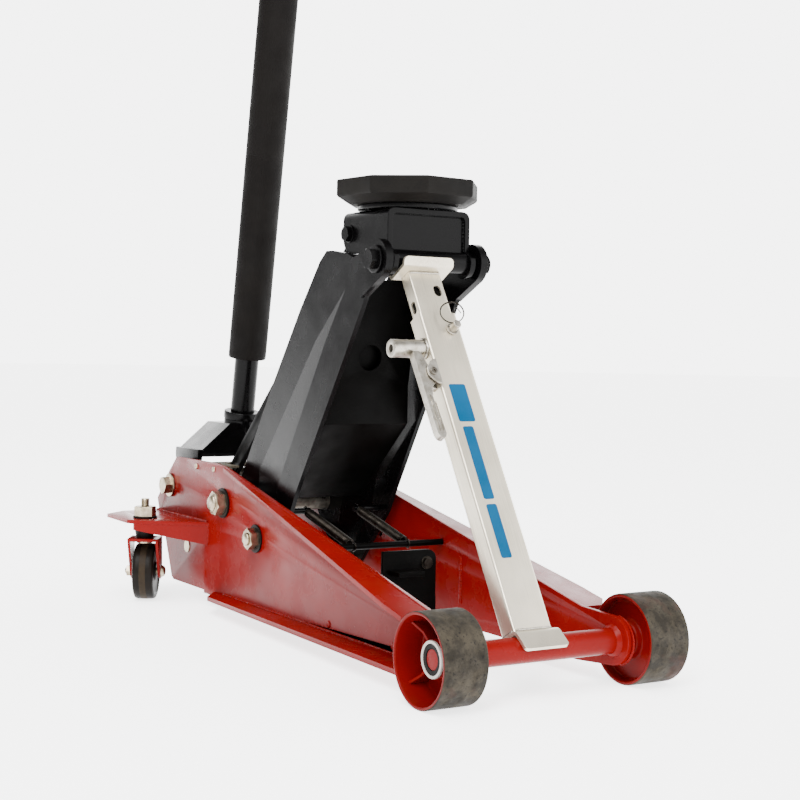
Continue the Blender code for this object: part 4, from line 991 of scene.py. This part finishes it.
        wire.append(a * (1 - t) ** 3 + b * (3 * t * (1 - t) ** 2) + c * (3 * t * t * (1 - t)) + d * t ** 3)
    piece("lanyard_wire", tube_on(wire, 0.0006, 6), SPRING, "rod")
    blocks = []
    for s0, s1, y0, y1 in ((0.086, 0.150, -0.013, 0.001), (0.156, 0.246, -0.013, 0.001),
                           (0.252, 0.300, -0.015, 0.007)):
        outline = soften(ring_outline(s0, s1, y0, y1), 0.003, True, 4)
        blocks.append(prism([on_rod(s, -0.0001, y) for s, y in outline], ROD_FACE * 0.0003))
    piece("blue_stripe", merge(*blocks), BLUE, "rod")


frame_looks()
fasteners()
front_wheels()
casters()
lifting_looks()
saddle_looks()
handle_looks()
rod_looks()


# Setting -----------------------------------------------------------------------------------

def setting():
    floor_mesh = bmesh.new()
    bmesh.ops.create_circle(floor_mesh, cap_ends=True, segments=64, radius=30.0)
    data = bpy.data.meshes.new("floor")
    floor_mesh.to_mesh(data)
    floor_mesh.free()
    ground = Look("pale_floor", (0.85, 0.85, 0.85), 0.7, specular=0.1)
    ground.set("Emission Color", (1.0, 1.0, 1.0, 1.0))
    ground.set("Emission Strength", 2.6)
    data.materials.append(ground.made)
    floor = bpy.data.objects.new("floor", data)
    bpy.context.scene.collection.objects.link(floor)
    world = bpy.data.worlds.new("white_room")
    world.use_nodes = True
    nodes, links = world.node_tree.nodes, world.node_tree.links
    direction = nodes.new("ShaderNodeTexCoord").outputs["Generated"]
    parts = nodes.new("ShaderNodeSeparateXYZ")
    links.new(direction, parts.inputs["Vector"])
    horizon, overhead, far_side = 5.8, 0.55, 0.22
    levels = []
    for part, numbers in (("Z", (0.34, 0.80, horizon, overhead)), ("Y", (-0.40, -0.05, far_side, 1.0))):
        fade = nodes.new("ShaderNodeMapRange")
        for socket, number in zip(("From Min", "From Max", "To Min", "To Max"), numbers):
            fade.inputs[socket].default_value = number
        links.new(parts.outputs[part], fade.inputs["Value"])
        levels.append(fade.outputs["Result"])
    level = nodes.new("ShaderNodeMath")
    level.operation = "MULTIPLY"
    links.new(levels[0], level.inputs[0])
    links.new(levels[1], level.inputs[1])
    backdrop = nodes["Background"]
    backdrop.inputs["Color"].default_value = (1.0, 1.0, 1.0, 1.0)
    links.new(level.outputs["Value"], backdrop.inputs["Strength"])
    bpy.context.scene.world = world
    sun = bpy.data.lights.new("overhead", "SUN")
    sun.energy = 5.0
    sun.angle = math.radians(35.0)
    made = bpy.data.objects.new("overhead", sun)
    made.rotation_mode = "QUATERNION"
    made.rotation_quaternion = Vector((-0.35, 0.45, -1.0)).to_track_quat("-Z", "Y")
    bpy.context.scene.collection.objects.link(made)
    for name, place, size, power in (("key", (1.8, -2.0, 1.9), 1.0, 60), ("top", (-0.2, 0.0, 3.0), 1.4,
                                                                          60)):
        lamp = bpy.data.lights.new(name, "AREA")
        lamp.shape = "SQUARE"
        lamp.size = size
        lamp.energy = power
        made = bpy.data.objects.new(name, lamp)
        made.location = place
        made.rotation_mode = "QUATERNION"
        made.rotation_quaternion = (Vector((0, 0, 0.35)) - Vector(place)).to_track_quat("-Z", "Y")
        bpy.context.scene.collection.objects.link(made)


def camera():
    pan, tilt, roll = 0.543635152, 0.0314558741, 0.0176056325
    forward = Vector((-math.cos(pan) * math.cos(tilt), math.sin(pan) * math.cos(tilt), -math.sin(tilt)))
    right = Vector((math.sin(pan), math.cos(pan), 0))
    up = right.cross(forward)
    r2 = right * math.cos(roll) + up * math.sin(roll)
    u2 = up * math.cos(roll) - right * math.sin(roll)
    lens = bpy.data.cameras.new("camera")
    lens.lens = 68.027
    lens.sensor_width = 36.0
    made = bpy.data.objects.new("camera", lens)
    bpy.context.scene.collection.objects.link(made)
    turn = Matrix((r2, u2, -forward)).transposed().to_4x4()
    made.matrix_world = Matrix.Translation((AXLE_X + CAMERA[0], CAMERA[1], CAMERA[2])) @ turn
    bpy.context.scene.camera = made


setting()
camera()
